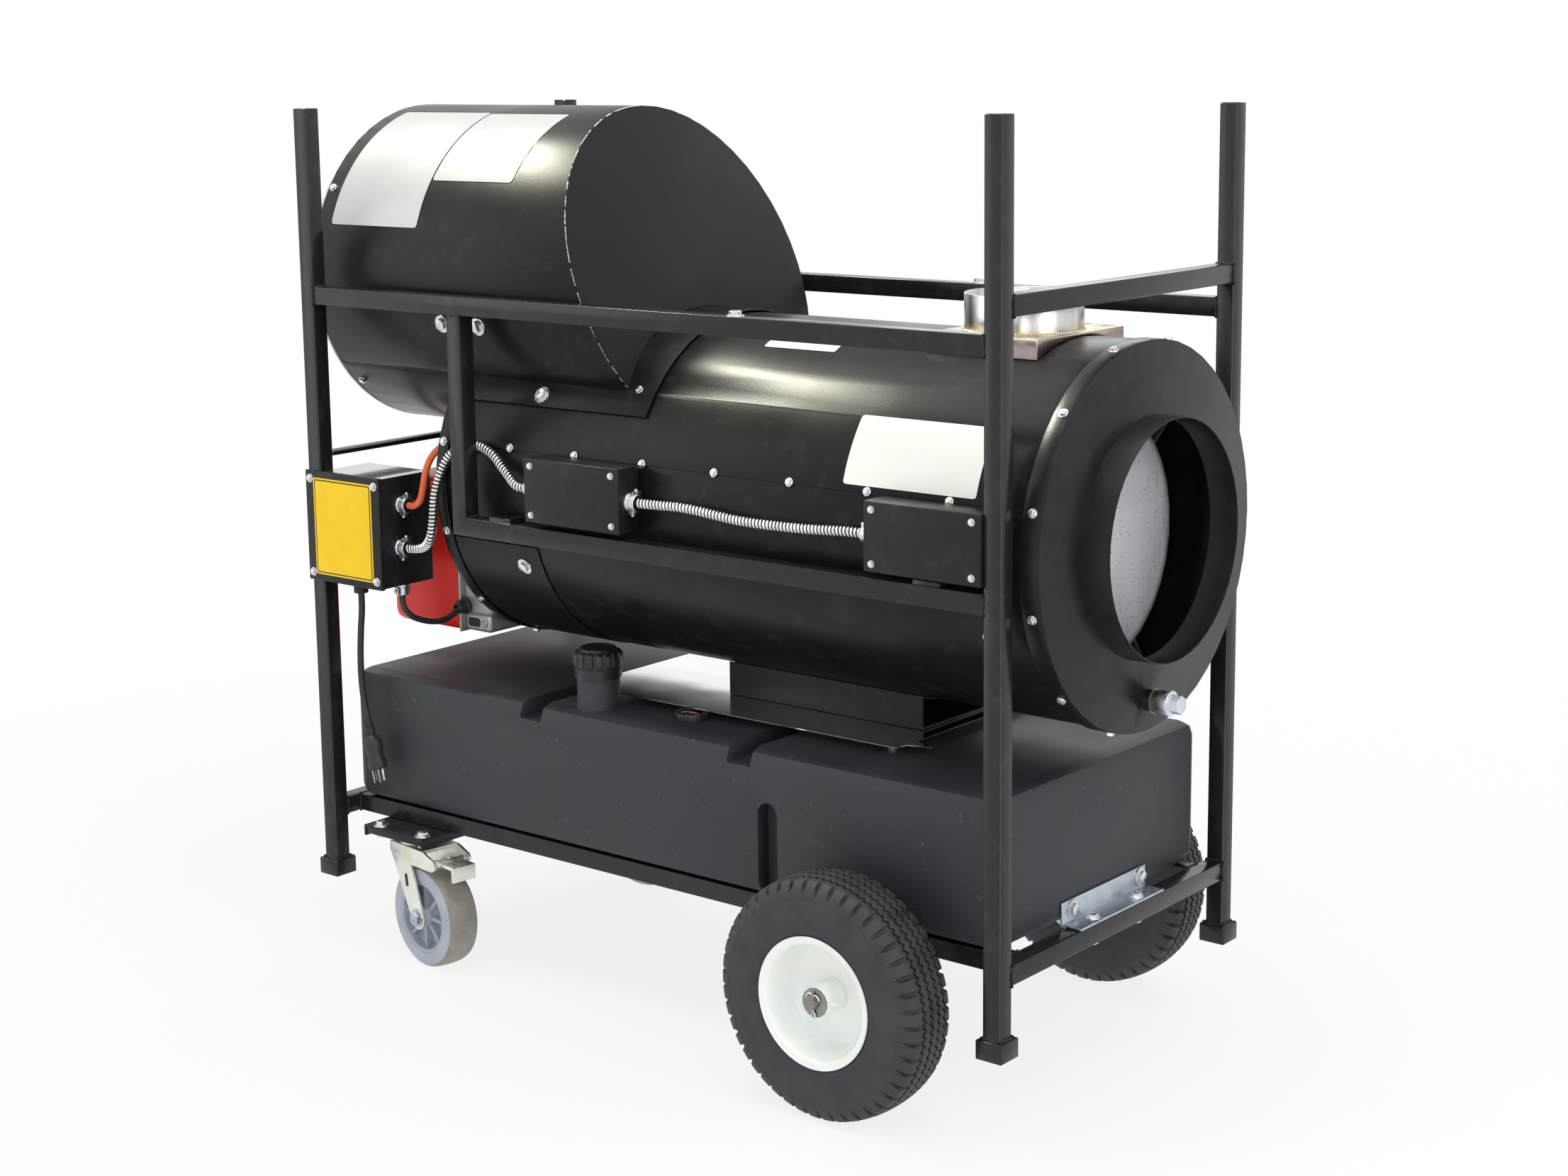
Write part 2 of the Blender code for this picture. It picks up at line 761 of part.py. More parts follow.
# Fuel tank with strap channels, a moulded slot, a neck, a cap and a float gauge
tank_end_gap = 0.0065
tank_half_width = 0.238
tank_wall = 0.004
tank_round = 0.020
strap_depth = 0.025
strap_width = 0.040
strap_insets = (0.3662, 0.4097)
slot_inset = 0.3617
slot_half = 0.016
slot_depth = 0.022
slot_height = 0.129
neck_inset = 0.4557
neck_y = -0.192
neck_radius = 0.030
neck_bore = 0.022
neck_height = 0.043
thread_radius = 0.0262
thread_height = 0.027
cap_radius = 0.035
cap_height = 0.042
cap_crown = 0.012
gasket_thickness = 0.0025
gauge_inset = 0.5507
gauge_y = -0.168
gauge_radius = 0.0225
gauge_height = 0.0105
gauge_lip = 0.004
gauge_floor = 0.005
pointer_thickness = 0.0015
spindle_radius = 0.001
hand_half = 0.001
hand_tail_share = 0.33
tank_half = inner_length - tank_end_gap
strap_places = (-tank_half + strap_insets[0], tank_half - strap_insets[1])
slot_place = tank_half - slot_inset
neck_place = (-tank_half + neck_inset, neck_y)
gauge_place = (tank_half - gauge_inset, gauge_y)
neck_top = tank_top + neck_height
thread_top = neck_top + thread_height


def tank_form(inset):
    """The tank's form, or with an inset the hollow inside it."""
    form = block(
        (-tank_half + inset, -tank_half_width + inset, tank_bottom + inset),
        (tank_half - inset, tank_half_width - inset, tank_top - inset),
    )
    bevel(form, tank_round - inset, 2)
    form = settled(form)
    for place_x in strap_places:
        half = strap_width / 2 + inset
        strap = block(
            (place_x - half, -tank_half_width - overrun, tank_top - strap_depth - inset),
            (place_x + half, tank_half_width + overrun, tank_top + overrun),
        )
        cut(form, strap)
    outline = [(slot_place - slot_half - inset, tank_bottom - overrun)]
    outline += [(slot_place + slot_half + inset, tank_bottom - overrun)]
    outline += arc((slot_place, tank_bottom + slot_height - slot_half), slot_half + inset, 0, 180, 8)
    return cut(
        form, along_y([outline], -tank_half_width - overrun, -tank_half_width + slot_depth + inset)
    )


def make_tank():
    neck_base = (*neck_place, tank_top - tank_wall / 2)
    collar = rod(neck_base, (*neck_place, neck_top), neck_radius, 22)
    thread = rod((*neck_place, neck_top - tank_wall), (*neck_place, thread_top), thread_radius, 22)
    bore = rod(
        (*neck_place, tank_top - tank_wall - overrun), (*neck_place, thread_top + overrun), neck_bore, 22
    )
    tank = weld(tank_form(0), collar, thread)
    cut(tank, tank_form(tank_wall), bore)
    node("fuel_tank", tank, TANK_PLASTIC)

    cap_bottom = neck_top + seat_gap
    ceiling = thread_top + gasket_thickness + 2 * seat_gap
    inner = thread_radius + 2 * seat_gap
    cap_high = cap_bottom + cap_height
    profile = [
        (0, ceiling),
        (inner, ceiling),
        (inner, cap_bottom),
        (cap_radius, cap_bottom),
        (cap_radius, cap_high - cap_crown),
        (cap_radius - cap_crown / 4, cap_high - cap_crown / 4),
        (cap_radius - cap_crown, cap_high),
        (0, cap_high),
    ]
    pivot = (*neck_place, cap_bottom)
    node("filler_cap", turned(profile, (*neck_place, 0), (0, 0, 1), 22), MATTE_BLACK, pivot, True)
    gasket = [
        (neck_bore, thread_top + seat_gap),
        (neck_bore, thread_top + seat_gap + gasket_thickness),
        (thread_radius, thread_top + seat_gap + gasket_thickness),
        (thread_radius, thread_top + seat_gap),
    ]
    node("cap_gasket", turned(gasket, (*neck_place, 0), (0, 0, 1), 20), BLACK_RUBBER, pivot, True)


def make_gauge():
    bottom = tank_top + seat_gap
    top = bottom + gauge_height
    floor = bottom + gauge_floor
    dial = gauge_radius - gauge_lip
    body = [
        (0, bottom),
        (gauge_radius, bottom),
        (gauge_radius, top),
        (dial, top),
        (dial, floor),
        (spindle_radius, floor),
        (spindle_radius, floor + pointer_thickness + 2 * seat_gap),
        (0, floor + pointer_thickness + 2 * seat_gap),
    ]
    origin = (*gauge_place, 0)
    node("fuel_gauge", turned(body, origin, (0, 0, 1), 24), MATTE_BLACK, None, True)
    ring = circle(gauge_place, spindle_radius + seat_gap, 8)
    reach = dial - gauge_lip
    tail = reach * hand_tail_share
    hand = [
        (gauge_place[0] - tail, gauge_place[1] - hand_half),
        (gauge_place[0], gauge_place[1] - 2 * hand_half),
        (gauge_place[0] + reach, gauge_place[1]),
        (gauge_place[0], gauge_place[1] + 2 * hand_half),
        (gauge_place[0] - tail, gauge_place[1] + hand_half),
    ]
    pointer = along_z([hand, ring], floor + seat_gap, floor + seat_gap + pointer_thickness)
    node("gauge_pointer", pointer, RED_PAINT, (*gauge_place, floor), True)


# Zinc angle that holds the tank down
angle_half = 0.100
angle_leg = 0.031
angle_thickness = 0.003


def make_bracket():
    inner = tank_half + seat_gap
    outline = [
        (inner, tank_bottom),
        (half_length, tank_bottom),
        (half_length, tank_bottom + angle_thickness),
        (inner + angle_thickness, tank_bottom + angle_thickness),
        (inner + angle_thickness, tank_bottom + angle_leg),
        (inner, tank_bottom + angle_leg),
    ]
    node("tank_bracket", along_y([outline], -angle_half, angle_half), ZINC)


# Bright sheet between tank and drum, and the saddle that carries the drum
shield_standoff = 0.0125
shield_thickness = 0.0012
shield_insets = (0.186, 0.2713)
shield_half = 0.161
shield_foot = 0.006
shield_foot_inset = 0.030
tongue_length = 0.035
tongue_edges = (0.019, 0.030, 0.042)
saddle_inset = 0.2943
saddle_length = 0.330
saddle_half = 0.074
saddle_wall = 0.003
shield_left = drum_rear + shield_insets[0]
shield_right = drum_front - shield_insets[1]
saddle_left = drum_front - saddle_inset - saddle_length
shield_bottom = tank_top + shield_standoff
shield_top = shield_bottom + shield_thickness


def make_shield():
    outline = [
        (shield_left, -shield_half),
        (shield_right, -shield_half),
        (shield_right, -shield_half + tongue_edges[0]),
        (shield_right + tongue_length, -shield_half + tongue_edges[1]),
        (shield_right, -shield_half + tongue_edges[2]),
        (shield_right, shield_half),
        (shield_left, shield_half),
    ]
    sheet = along_z([outline], shield_bottom, shield_top)
    for x in (shield_left + shield_foot_inset, shield_right - shield_foot_inset):
        for y in (-shield_half + shield_foot_inset, shield_half - shield_foot_inset):
            foot_low = (x, y, tank_top + seat_gap)
            weld(sheet, rod(foot_low, (x, y, shield_bottom + shield_thickness / 2), shield_foot, 10))
    node("heat_shield", sheet, BRIGHT_SHEET)


def make_saddle():
    contact = lower_sheet_radius + seat_gap
    bottom = shield_top + seat_gap

    def section(inset):
        half = saddle_half - inset
        radius = contact + inset
        lean = math.degrees(math.asin(half / radius))
        curve = arc((0, drum_axis), radius, -90 + lean, -90 - lean, 8)
        return [(-half, bottom + inset), (half, bottom + inset), *curve]

    saddle = along_x([section(0), section(saddle_wall)], saddle_left, saddle_left + saddle_length)
    node("drum_saddle", saddle, BLACK_PAINT)


# Drum casing: two lapped sheets, end rings and the cover under the fan housing
seam_angle = 15
lap_angle = 7.5
ring_lip = 0.028
rear_lip = 0.020
collar_radius = 0.1538
collar_length = 0.0387
burner_drop = 0.107
burner_hole = 0.052
nipple_drop = 0.207
nipple_radius = 0.014
nipple_bore = 0.009
nipple_length = 0.020
cover_margin = 0.01058
cover_angle = 30
slant_share = 0.3845
slant_inset = 0.3562
outlet_radius = 0.076
outlet_inset = 0.1873
outlet_wall = 0.002
slant_place = drum_front - slant_inset
slant_foot = slant_place - slant_share * (housing_axis - housing_radius)
cover_right = slant_foot + cover_margin
outlet_place = drum_front - outlet_inset
burner_axis = drum_axis - burner_drop
nipple_height = drum_axis - nipple_drop


def drum_arc(radius, start, end, steps):
    """Points of a drum sheet; 0 degrees is level on the near side, and 90 is the top."""
    return arc((0, drum_axis), radius, 180 - start, 180 - end, steps)


def curved_sheet(outer, angles, ends):
    """A sheet bent round the drum, with its facets where those of every other drum piece are."""
    steps = round(abs(angles[1] - angles[0]) * drum_sides / 360)
    outline = drum_arc(outer, angles[0], angles[1], steps)
    outline += drum_arc(outer - sheet_wall, angles[1], angles[0], steps)
    return along_x([outline], *ends)


def flat_radius(radius):
    """How near the middle of a facet comes to the axis."""
    return radius * math.cos(math.pi / drum_sides)


def slant_band(near, far):
    """A block across the slanted end of the fan housing, between two offsets along x."""
    reach = 2 * drum_radius
    top = housing_axis + reach
    bottom = drum_axis - reach
    outline = [
        (slant_place - slant_share * bottom + near, bottom),
        (slant_place - slant_share * bottom + far, bottom),
        (slant_place - slant_share * top + far, top),
        (slant_place - slant_share * top + near, top),
    ]
    return along_y([outline], -reach, reach)


def beyond_slant(offset):
    """All that lies past the slanted end, moved out along x by an offset."""
    return slant_band(offset, offset + frame_length)


def housing_opening():
    """The space inside the fan housing, which opens down into the drum."""
    radius = housing_radius - 2 * sheet_wall
    opening = rod(
        (
            drum_rear + rear_lip + overrun, 0, housing_axis
        ), (drum_front, 0, housing_axis), radius, drum_sides
    )
    return settled(cut(opening, beyond_slant(-sheet_wall)))


def make_casing():
    start = drum_rear + sheet_wall + seat_gap
    end = drum_front - sheet_wall - seat_gap
    top = curved_sheet(drum_radius, (seam_angle, 180 - seam_angle), (start, end))
    flue_hole = rod(
        (outlet_place, 0, drum_axis), (outlet_place, 0, housing_axis), outlet_radius - outlet_wall, 24
    )
    cut(top, housing_opening(), flue_hole)
    node("casing_top", top, BLACK_PAINT, None, True)
    lap = seam_angle + lap_angle
    bottom = curved_sheet(lower_sheet_radius, (lap, -180 - lap), (start, end))
    node("casing_bottom", bottom, BLACK_PAINT, None, True)


def make_front_ring():
    inner = lip_radius - sheet_wall
    collar_end = drum_front + collar_length
    collar_inner = collar_radius - sheet_wall
    profile = [
        (inner, drum_front - ring_lip),
        (lip_radius, drum_front - ring_lip),
        (lip_radius, drum_front),
        (collar_radius, drum_front),
        (collar_radius, collar_end),
        (collar_inner, collar_end),
        (collar_inner, drum_front - sheet_wall),
        (inner, drum_front - sheet_wall),
    ]
    ring = turned(profile, (0, 0, drum_axis), (1, 0, 0), drum_sides)
    start = (drum_front - sheet_wall / 2, 0, nipple_height)
    nipple = rod(start, (drum_front + nipple_length, 0, nipple_height), nipple_radius, 16)
    bore_start = (drum_front - overrun, 0, nipple_height)
    bore = rod(bore_start, (drum_front + nipple_length + overrun, 0, nipple_height), nipple_bore, 12)
    node("front_ring", settled(cut(weld(ring, nipple), bore)), BLACK_PAINT, None, True)


def make_rear_plate():
    inner = lip_radius - sheet_wall
    profile = [
        (0, drum_rear),
        (lip_radius, drum_rear),
        (lip_radius, drum_rear + rear_lip),
        (inner, drum_rear + rear_lip),
        (inner, drum_rear + sheet_wall),
        (0, drum_rear + sheet_wall),
    ]
    plate = turned(profile, (0, 0, drum_axis), (1, 0, 0), drum_sides)
    hole = rod(
        (drum_rear - overrun, 0, burner_axis),
        (drum_rear + overrun, 0, burner_axis),
        burner_hole,
        24,
    )
    node("rear_plate", settled(cut(plate, hole)), BLACK_PAINT, None, True)


def make_cover():
    cover = curved_sheet(saddle_radius, (cover_angle, 180 - cover_angle), (drum_rear, cover_right))
    opening = rod(
        (
            drum_rear + rear_lip, 0, housing_axis
        ), (drum_front, 0, housing_axis), housing_radius - 2 * sheet_wall, drum_sides
    )
    cut(opening, beyond_slant(-sheet_wall))
    node("saddle_cover", cut(cover, settled(opening)), BLACK_PAINT, None, True)


# Fan housing with its slanted end, inlet pan, guard, fan and motor
pan_drop = 0.134
guard_ring = 0.008
guard_rings = (0.060, 0.120, 0.180)
fan_inset = 0.0673
fan_radius = 0.205
fan_hub = 0.040
blade_root_share = 0.8
fan_depth = 0.045
blade_count = 5
blade_thickness = 0.003
blade_pitch = 30
motor_radius = 0.070
motor_length = 0.130
motor_shaft = 0.008
motor_gap = 0.020
shelf_drop = 0.090
shelf_thickness = 0.003
shelf_inset = 0.0873
shelf_length = 0.150
foot_half = 0.050
pan_height = housing_axis - pan_drop
fan_place = housing_rear + fan_inset
shelf_left = housing_rear + shelf_inset
shelf_right = shelf_left + shelf_length


def housing_ring(end):
    outlines = [
        circle((0, housing_axis), radius, drum_sides)
        for radius in (housing_radius, housing_radius - sheet_wall)
    ]
    return along_x(outlines, housing_rear, end)


def housing_shell():
    shell = housing_ring(slant_place - slant_share * drum_axis)
    drum_void = rod(
        (
            drum_rear - seat_gap, 0, drum_axis
        ), (drum_front, 0, drum_axis), saddle_radius + seat_gap, drum_sides
    )
    return cut(shell, beyond_slant(0), drum_void)


def make_housing():
    reach = drum_radius + overrun
    rear = housing_rear - overrun
    below = block((rear, -reach, drum_axis - reach), (drum_rear + overrun, reach, pan_height + seat_gap))
    node("fan_housing", settled(cut(housing_shell(), below)), BLACK_PAINT, None, True)
    pan = housing_ring(drum_rear - seat_gap)
    above = block((rear, -reach, pan_height), (drum_rear, reach, frame_top + overrun))
    node("inlet_pan", settled(cut(pan, above)), BLACK_PAINT, None, True)


def make_slant_plate():
    slab = slant_band(seat_gap, seat_gap + sheet_wall)
    barrel = rod(
        (housing_rear, 0, housing_axis), (drum_front, 0, housing_axis), housing_radius, drum_sides
    )
    common(slab, barrel)
    drum_void = rod(
        (housing_rear, 0, drum_axis),
        (drum_front, 0, drum_axis),
        saddle_radius + seat_gap,
        drum_sides,
    )
    node("slant_plate", settled(cut(slab, drum_void)), MATTE_BLACK)


def make_guard():
    rear = housing_rear - seat_gap
    front = rear - guard_wire
    outer = housing_radius
    pieces = [
        along_x(
            [circle((0, housing_axis), outer, 24), circle((0, housing_axis), outer - guard_ring, 24)],
            front,
            rear,
        ),
    ]
    guard = pieces[0]
    for radius in guard_rings:
        hoop = [
            circle((0, housing_axis), radius + guard_wire / 2, 12),
            circle((0, housing_axis), radius - guard_wire / 2, 12),
        ]
        weld(guard, along_x(hoop, front + guard_wire / 4, rear - guard_wire / 4))
    for across, up in ((1, 0), (0, 1)):
        reach = outer - guard_ring / 2
        half = guard_wire / 2
        spoke_y = reach * across + half * up
        spoke_z = reach * up + half * across
        spoke = block((front, -spoke_y, housing_axis - spoke_z), (rear, spoke_y, housing_axis + spoke_z))
        weld(guard, spoke)
    node("inlet_guard", settled(guard), ZINC, None, True)


def make_fan():
    centre = Vector((fan_place, 0, housing_axis))
    hub = rod(
        centre - Vector((fan_depth / 2, 0, 0)), centre + Vector((fan_depth / 2, 0, 0)), fan_hub, 24
    )
    root = fan_hub - fan_hub / 5
    for number in range(blade_count):
        chord_root = fan_hub * blade_root_share
        blade = block(
            (-blade_thickness / 2, -chord_root, root), (blade_thickness / 2, chord_root, fan_radius)
        )
        spread = Matrix.Rotation(math.radians(blade_pitch), 4, "Z")
        spin = Matrix.Rotation(math.tau * number / blade_count, 4, "X")
        blade.data.transform(Matrix.Translation(centre) @ spin @ spread)
        weld(hub, blade)
    bore = rod(
        centre - Vector(
            (fan_depth, 0, 0)
        ), centre + Vector((fan_depth, 0, 0)), motor_shaft + seat_gap, 16
    )
    node("fan_blades", settled(cut(hub, bore)), CAST_ALUMINIUM, centre, True)


def make_motor():
    left = fan_place + fan_depth / 2 + motor_gap
    body = rod((left, 0, housing_axis), (left + motor_length, 0, housing_axis), motor_radius, 24)
    shaft = rod(
        (fan_place - fan_depth / 2, 0, housing_axis),
        (left + overrun, 0, housing_axis),
        motor_shaft,
        16,
    )
    shelf_top = housing_axis - shelf_drop
    reach = chord(flat_radius(housing_radius - sheet_wall), shelf_drop + shelf_thickness) - seat_gap
    shelf = block((shelf_left, -reach, shelf_top - shelf_thickness), (shelf_right, reach, shelf_top))
    foot = block(
        (left + motor_gap, -foot_half, shelf_top - shelf_thickness / 2),
        (left + motor_length - motor_gap, foot_half, housing_axis - motor_radius / 2),
    )
    node("fan_motor", settled(weld(body, shaft, foot, shelf)), MATTE_BLACK, None, True)


# Heat exchanger, its stands, the exhaust and the drain plug
exchanger_radius = 0.165
exchanger_drop = 0.0104
exchanger_insets = (0.036, 0.0683)
exchanger_wall = 0.002
flue_radius = 0.070
flue_top = 0.004
stand_inset = 0.0953
stand_width = 0.025
stand_thickness = 0.004
stand_angles = (-55, -125, 35, 145)
box_inset = 0.1013
box_length = 0.169
box_half = 0.100
box_rise = 0.0043
box_wall = 0.002
stub_height = 0.0467
hex_radius = 0.0125
hex_depth = 0.014
hex_root = 0.0014
plug_radius = 0.0165
exchanger_rear = drum_rear + exchanger_insets[0]
exchanger_front = drum_front - exchanger_insets[1]
stand_place = drum_front - stand_inset
box_right = drum_front - box_inset
box_left = box_right - box_length
exchanger_axis = drum_axis - exchanger_drop
box_top = drum_axis + drum_radius + box_rise


def make_exchanger():
    outer = rod(
        (exchanger_rear, 0, exchanger_axis),
        (exchanger_front, 0, exchanger_axis),
        exchanger_radius,
        30,
    )
    flue = rod((outlet_place, 0, exchanger_axis), (outlet_place, 0, box_top - flue_top), flue_radius, 24)
    hollow = rod(
        (exchanger_rear + exchanger_wall, 0, exchanger_axis),
        (exchanger_front - exchanger_wall, 0, exchanger_axis),
        exchanger_radius - exchanger_wall, 30,
    )
    flue_bore = rod(
        (outlet_place, 0, exchanger_axis), (
            outlet_place, 0, box_top + overrun
        ), flue_radius - exchanger_wall, 24
    )
    mouth = rod(
        (
            exchanger_rear - overrun, 0, burner_axis
        ), (exchanger_rear + overrun, 0, burner_axis), burner_hole, 24
    )
    weld(outer, flue)
    for end in (stand_place, exchanger_rear + stand_width * 2):
        for angle in stand_angles:
            weld(outer, exchanger_stand(end, angle))
    cut(outer, hollow, flue_bore, mouth)
    node("heat_exchanger", settled(outer), STEEL, None, True)


def exchanger_stand(place_x, angle):
    """A strap from the exchanger out to the casing sheet that it stands on."""
    across = math.cos(math.radians(angle))
    up = math.sin(math.radians(angle))
    limit = lower_sheet_radius - sheet_wall if angle < 0 else drum_radius - sheet_wall
    start = exchanger_radius - exchanger_wall / 2
    finish = exchanger_drop * up + chord(flat_radius(limit), exchanger_drop * across) - seat_gap
    half = stand_thickness / 2
    bar = block((place_x - stand_width / 2, -half, start), (place_x + stand_width / 2, half, finish))
    tilt = Matrix.Rotation(math.radians(angle - 90), 4, "X")
    bar.data.transform(Matrix.Translation((0, 0, exchanger_axis)) @ tilt)
    return bar


def make_exhaust():
    low = drum_axis + chord(drum_radius, box_half) - overrun
    box = block((box_left, -box_half, low), (box_right, box_half, box_top))
    hollow = block(
        (box_left + box_wall, -box_half + box_wall, low - overrun), (
            box_right - box_wall, box_half - box_wall, box_top - box_wall
        )
    )
    stub = rod(
        (outlet_place, 0, box_top - box_wall / 2),
        (outlet_place, 0, box_top + stub_height),
        outlet_radius,
        28,
    )
    bore = rod(
        (outlet_place, 0, drum_axis),
        (outlet_place, 0, box_top + stub_height + overrun),
        outlet_radius - outlet_wall,
        28,
    )
    drum_void = rod((drum_rear, 0, drum_axis), (drum_front, 0, drum_axis), drum_radius + seat_gap, 96)
    shell = cut(weld(box, stub), hollow, bore, drum_void)
    node("exhaust_outlet", settled(shell), STAINLESS, None, True)


def make_drain_plug():
    start = drum_front + nipple_length + seat_gap
    end = drum_front + plug_reach
    plug = rod((start, 0, nipple_height), (end - hex_depth, 0, nipple_height), plug_radius, 20)
    head = rod((end - hex_depth - hex_root, 0, nipple_height), (end, 0, nipple_height), hex_radius, 6)
    node("drain_plug", settled(weld(plug, head)), ZINC, None, True)


# Junction boxes and their covers
junction_depth = 0.040
junction_height = 0.087
junction_width = 0.1715
junction_insets = (0.213, 0.2283)
junction_rise = 0.0091
junction_wall = 0.0015
connector_radius = 0.0105
connector_length = 0.016
conduit_standoff = 0.0196
conduit_rise = 0.0185
junction_places = (drum_rear + junction_insets[0], drum_front - junction_insets[1])
conduit_height = drum_axis + conduit_rise
junction_low = mid_rail_top + junction_rise
junction_high = junction_low + junction_height
junction_back = -lower_sheet_radius - seat_gap
junction_front = junction_back - junction_depth
box_conduit_y = junction_back - conduit_standoff


def connector(point, outward):
    """A clamp connector that stands on a box's wall."""
    outward = Vector(outward)
    start = Vector(point) - outward * junction_wall / 2
    return rod(start, Vector(point) + outward * connector_length, connector_radius, 10)


def make_junction_boxes():
    faces = (
        ((junction_places[0], -1), (junction_places[0] + junction_width, 1)),
        ((junction_places[1], -1),),
    )
    for name, left, ends in zip(("first", "second"), junction_places, faces):
        right = left + junction_width
        box = block((left, junction_front, junction_low), (right, junction_back, junction_high))
        for x, side in ends:
            weld(box, connector((x, box_conduit_y, conduit_height), (side, 0, 0)))
        hollow = block(
            (left + junction_wall, junction_front - overrun, junction_low + junction_wall),
            (right - junction_wall, junction_back - junction_wall, junction_high - junction_wall),
        )
        node(f"{name}_junction_box", settled(cut(box, hollow)), BLACK_PAINT)
        face = junction_front - seat_gap
        cover = block((left, face - junction_wall, junction_low), (right, face, junction_high))
        node(f"{name}_junction_cover", cover, BLACK_PAINT)


# Control box on the near post at the burner end
control_length = 0.1546
control_depth = 0.0948
control_drop = 0.1549
control_height = 0.1625
control_wall = 0.0015
cover_stand = 0.0062
switch_inset = 0.0578
switch_rise = 0.080
switch_half = 0.011
switch_tall = 0.016
switch_depth = 0.012
switch_proud = 0.004
rocker_shares = ((0, 0.9), (0, 0), (0, -0.95), (0.6, -0.6), (1, 0), (0.4, 0.75))
rocker_stand_shares = (1, 1, 0, 0, 0, 0)
first_conduit_seat = (0.0328, 0.0583)
orange_seat = (0.0368, 0.1203)
lead_gland_seat = (0.013, 0.0448)
cord_gland_seat = (0.071, 0.0178)
control_low = drum_axis - control_drop
control_high = control_low + control_height
control_left = -inner_length + seat_gap
control_near = -half_width
control_right = -half_length + control_length
control_back = control_near + control_depth
first_conduit_y = control_near + first_conduit_seat[0]
first_conduit_z = control_low + first_conduit_seat[1]
orange_y = control_near + orange_seat[0]
orange_z = control_low + orange_seat[1]
lead_gland_x = control_right - lead_gland_seat[0]
lead_gland_y = control_near + lead_gland_seat[1]
cord_gland_x = control_right - cord_gland_seat[0]
cord_gland_y = control_near + cord_gland_seat[1]


def make_control_box():
    box = block(
        (control_left, control_near, control_low + control_wall),
        (control_right, control_back, control_high - control_wall),
    )
    hollow = block(
        (control_left + control_wall, control_near - overrun, control_low + 2 * control_wall),
        (control_right - control_wall, control_back - control_wall, control_high - 2 * control_wall),
    )
    switch_y = control_near + switch_inset
    switch_z = control_low + switch_rise
    switch_hole = block(
        (
            control_left - overrun,
            switch_y - switch_half - 2 * seat_gap,
            switch_z - switch_tall - 2 * seat_gap,
        ),
        (
            control_left + control_wall + seat_gap,
            switch_y + switch_half + 2 * seat_gap,
            switch_z + switch_tall + 2 * seat_gap,
        ),
    )
    seats = (
        ((control_right, first_conduit_y, first_conduit_z), (1, 0, 0)),
        ((control_right, orange_y, orange_z), (1, 0, 0)),
        ((lead_gland_x, lead_gland_y, control_low + control_wall), (0, 0, -1)),
        ((cord_gland_x, cord_gland_y, control_low + control_wall), (0, 0, -1)),
    )
    for point, outward in seats:
        weld(box, connector(point, outward))
    node("control_box", settled(cut(box, hollow, switch_hole)), BLACK_PAINT)
    near = control_near - seat_gap - cover_stand
    cover = block(
        (-half_length, near, control_low),
        (control_right + control_wall, control_near - seat_gap, control_high),
    )
    recess = block(
        (-half_length + control_wall, near + control_wall, control_low + control_wall),
        (control_right, control_near, control_high - control_wall),
    )
    node("control_cover", settled(cut(cover, recess)), BLACK_PAINT)
    pivot = (control_left + control_wall / 2, switch_y, switch_z)
    outline = []
    for (deep, high), proud in zip(rocker_shares, rocker_stand_shares):
        x = pivot[0] + deep * switch_depth - proud * switch_proud
        outline.append((x, switch_z + high * switch_tall))
    rocker = along_y([outline], switch_y - switch_half, switch_y + switch_half)
    node("power_switch", rocker, RED_PAINT, pivot)


# Routes of the armoured conduits and leads, chosen by hand
conduit_radius = 0.0065
conduit_bore = 0.0042
rib_pitch = 0.012
rib_share = 0.86
lead_radius = 0.0045
orange_radius = 0.005
lead_inset = 0.052
lead_rise = 0.015
orange_end_seat = (0.035, 0.0554)
first_shares = [
    (0.0541, 0.133, -0.804),
    (0.1484, -0.0963, -1.55),
    (0.2179, -0.848, -0.321),
    (0.2527, -1.07, 3.37),
    (0.272, -1.02, 8.11),
    (0.3145, -0.303, 12.9),
    (0.3764, 0.465, 15.6),
    (0.4575, 1.13, 16.2),
    (0.5618, 1.46, 15.1),
    (0.6816, 1.37, 11.8),
    (0.8207, 0.636, 5.77),
    (0.9459, -0.133, 0.958),
]
second_shares = [
    (0.03781, 0, 0),
    (0.1861, 0.154, 0.215),
    (0.4804, 0.154, -0.862),
    (0.7343, 0.154, -0.708),
    (0.9622, 0, 0),
]
lead_shares = [
    (0, 0, -2.13),
    (0.0133, 0.4, -4.24),
    (0.0976, 0.69, -6.49),
    (0.2396, 0.8, -7.29),
    (0.4259, 0.67, -7.31),
    (0.6211, 0.51, -6.13),
    (0.7986, 0.4, -3.2),
    (0.9184, 0.24, -0.74),
    (0.965, 0.11, -0.27),
]
orange_shares = [
    (0.177, -1.1, -3.09),
    (0.3363, -1.78, -4.45),
    (0.4087, -1.74, -2.76),
    (0.4409, -1.34, 0.46),
    (0.4811, -0.58, 3.34),
    (0.5857, 0.17, 4.66),
    (0.7466, 0.57, 3.76),
    (0.8914, 0.42, 1.95),
    (0.96, 0.25, 0.72),
]


def strung(start, end, shares, radius, along=0):
    """A route from one seat to another.

    Each row gives the share of the way along one axis, then how far the lead leaves the
    straight line, across it and upward, in its own radii.
    """
    start = Vector(start)
    end = Vector(end)
    route = [start]
    for share, across, rise in shares:
        point = start.lerp(end, share)
        point[1 - along] += across * radius
        point.z += rise * radius
        route.append(point)
    return [*route, end]


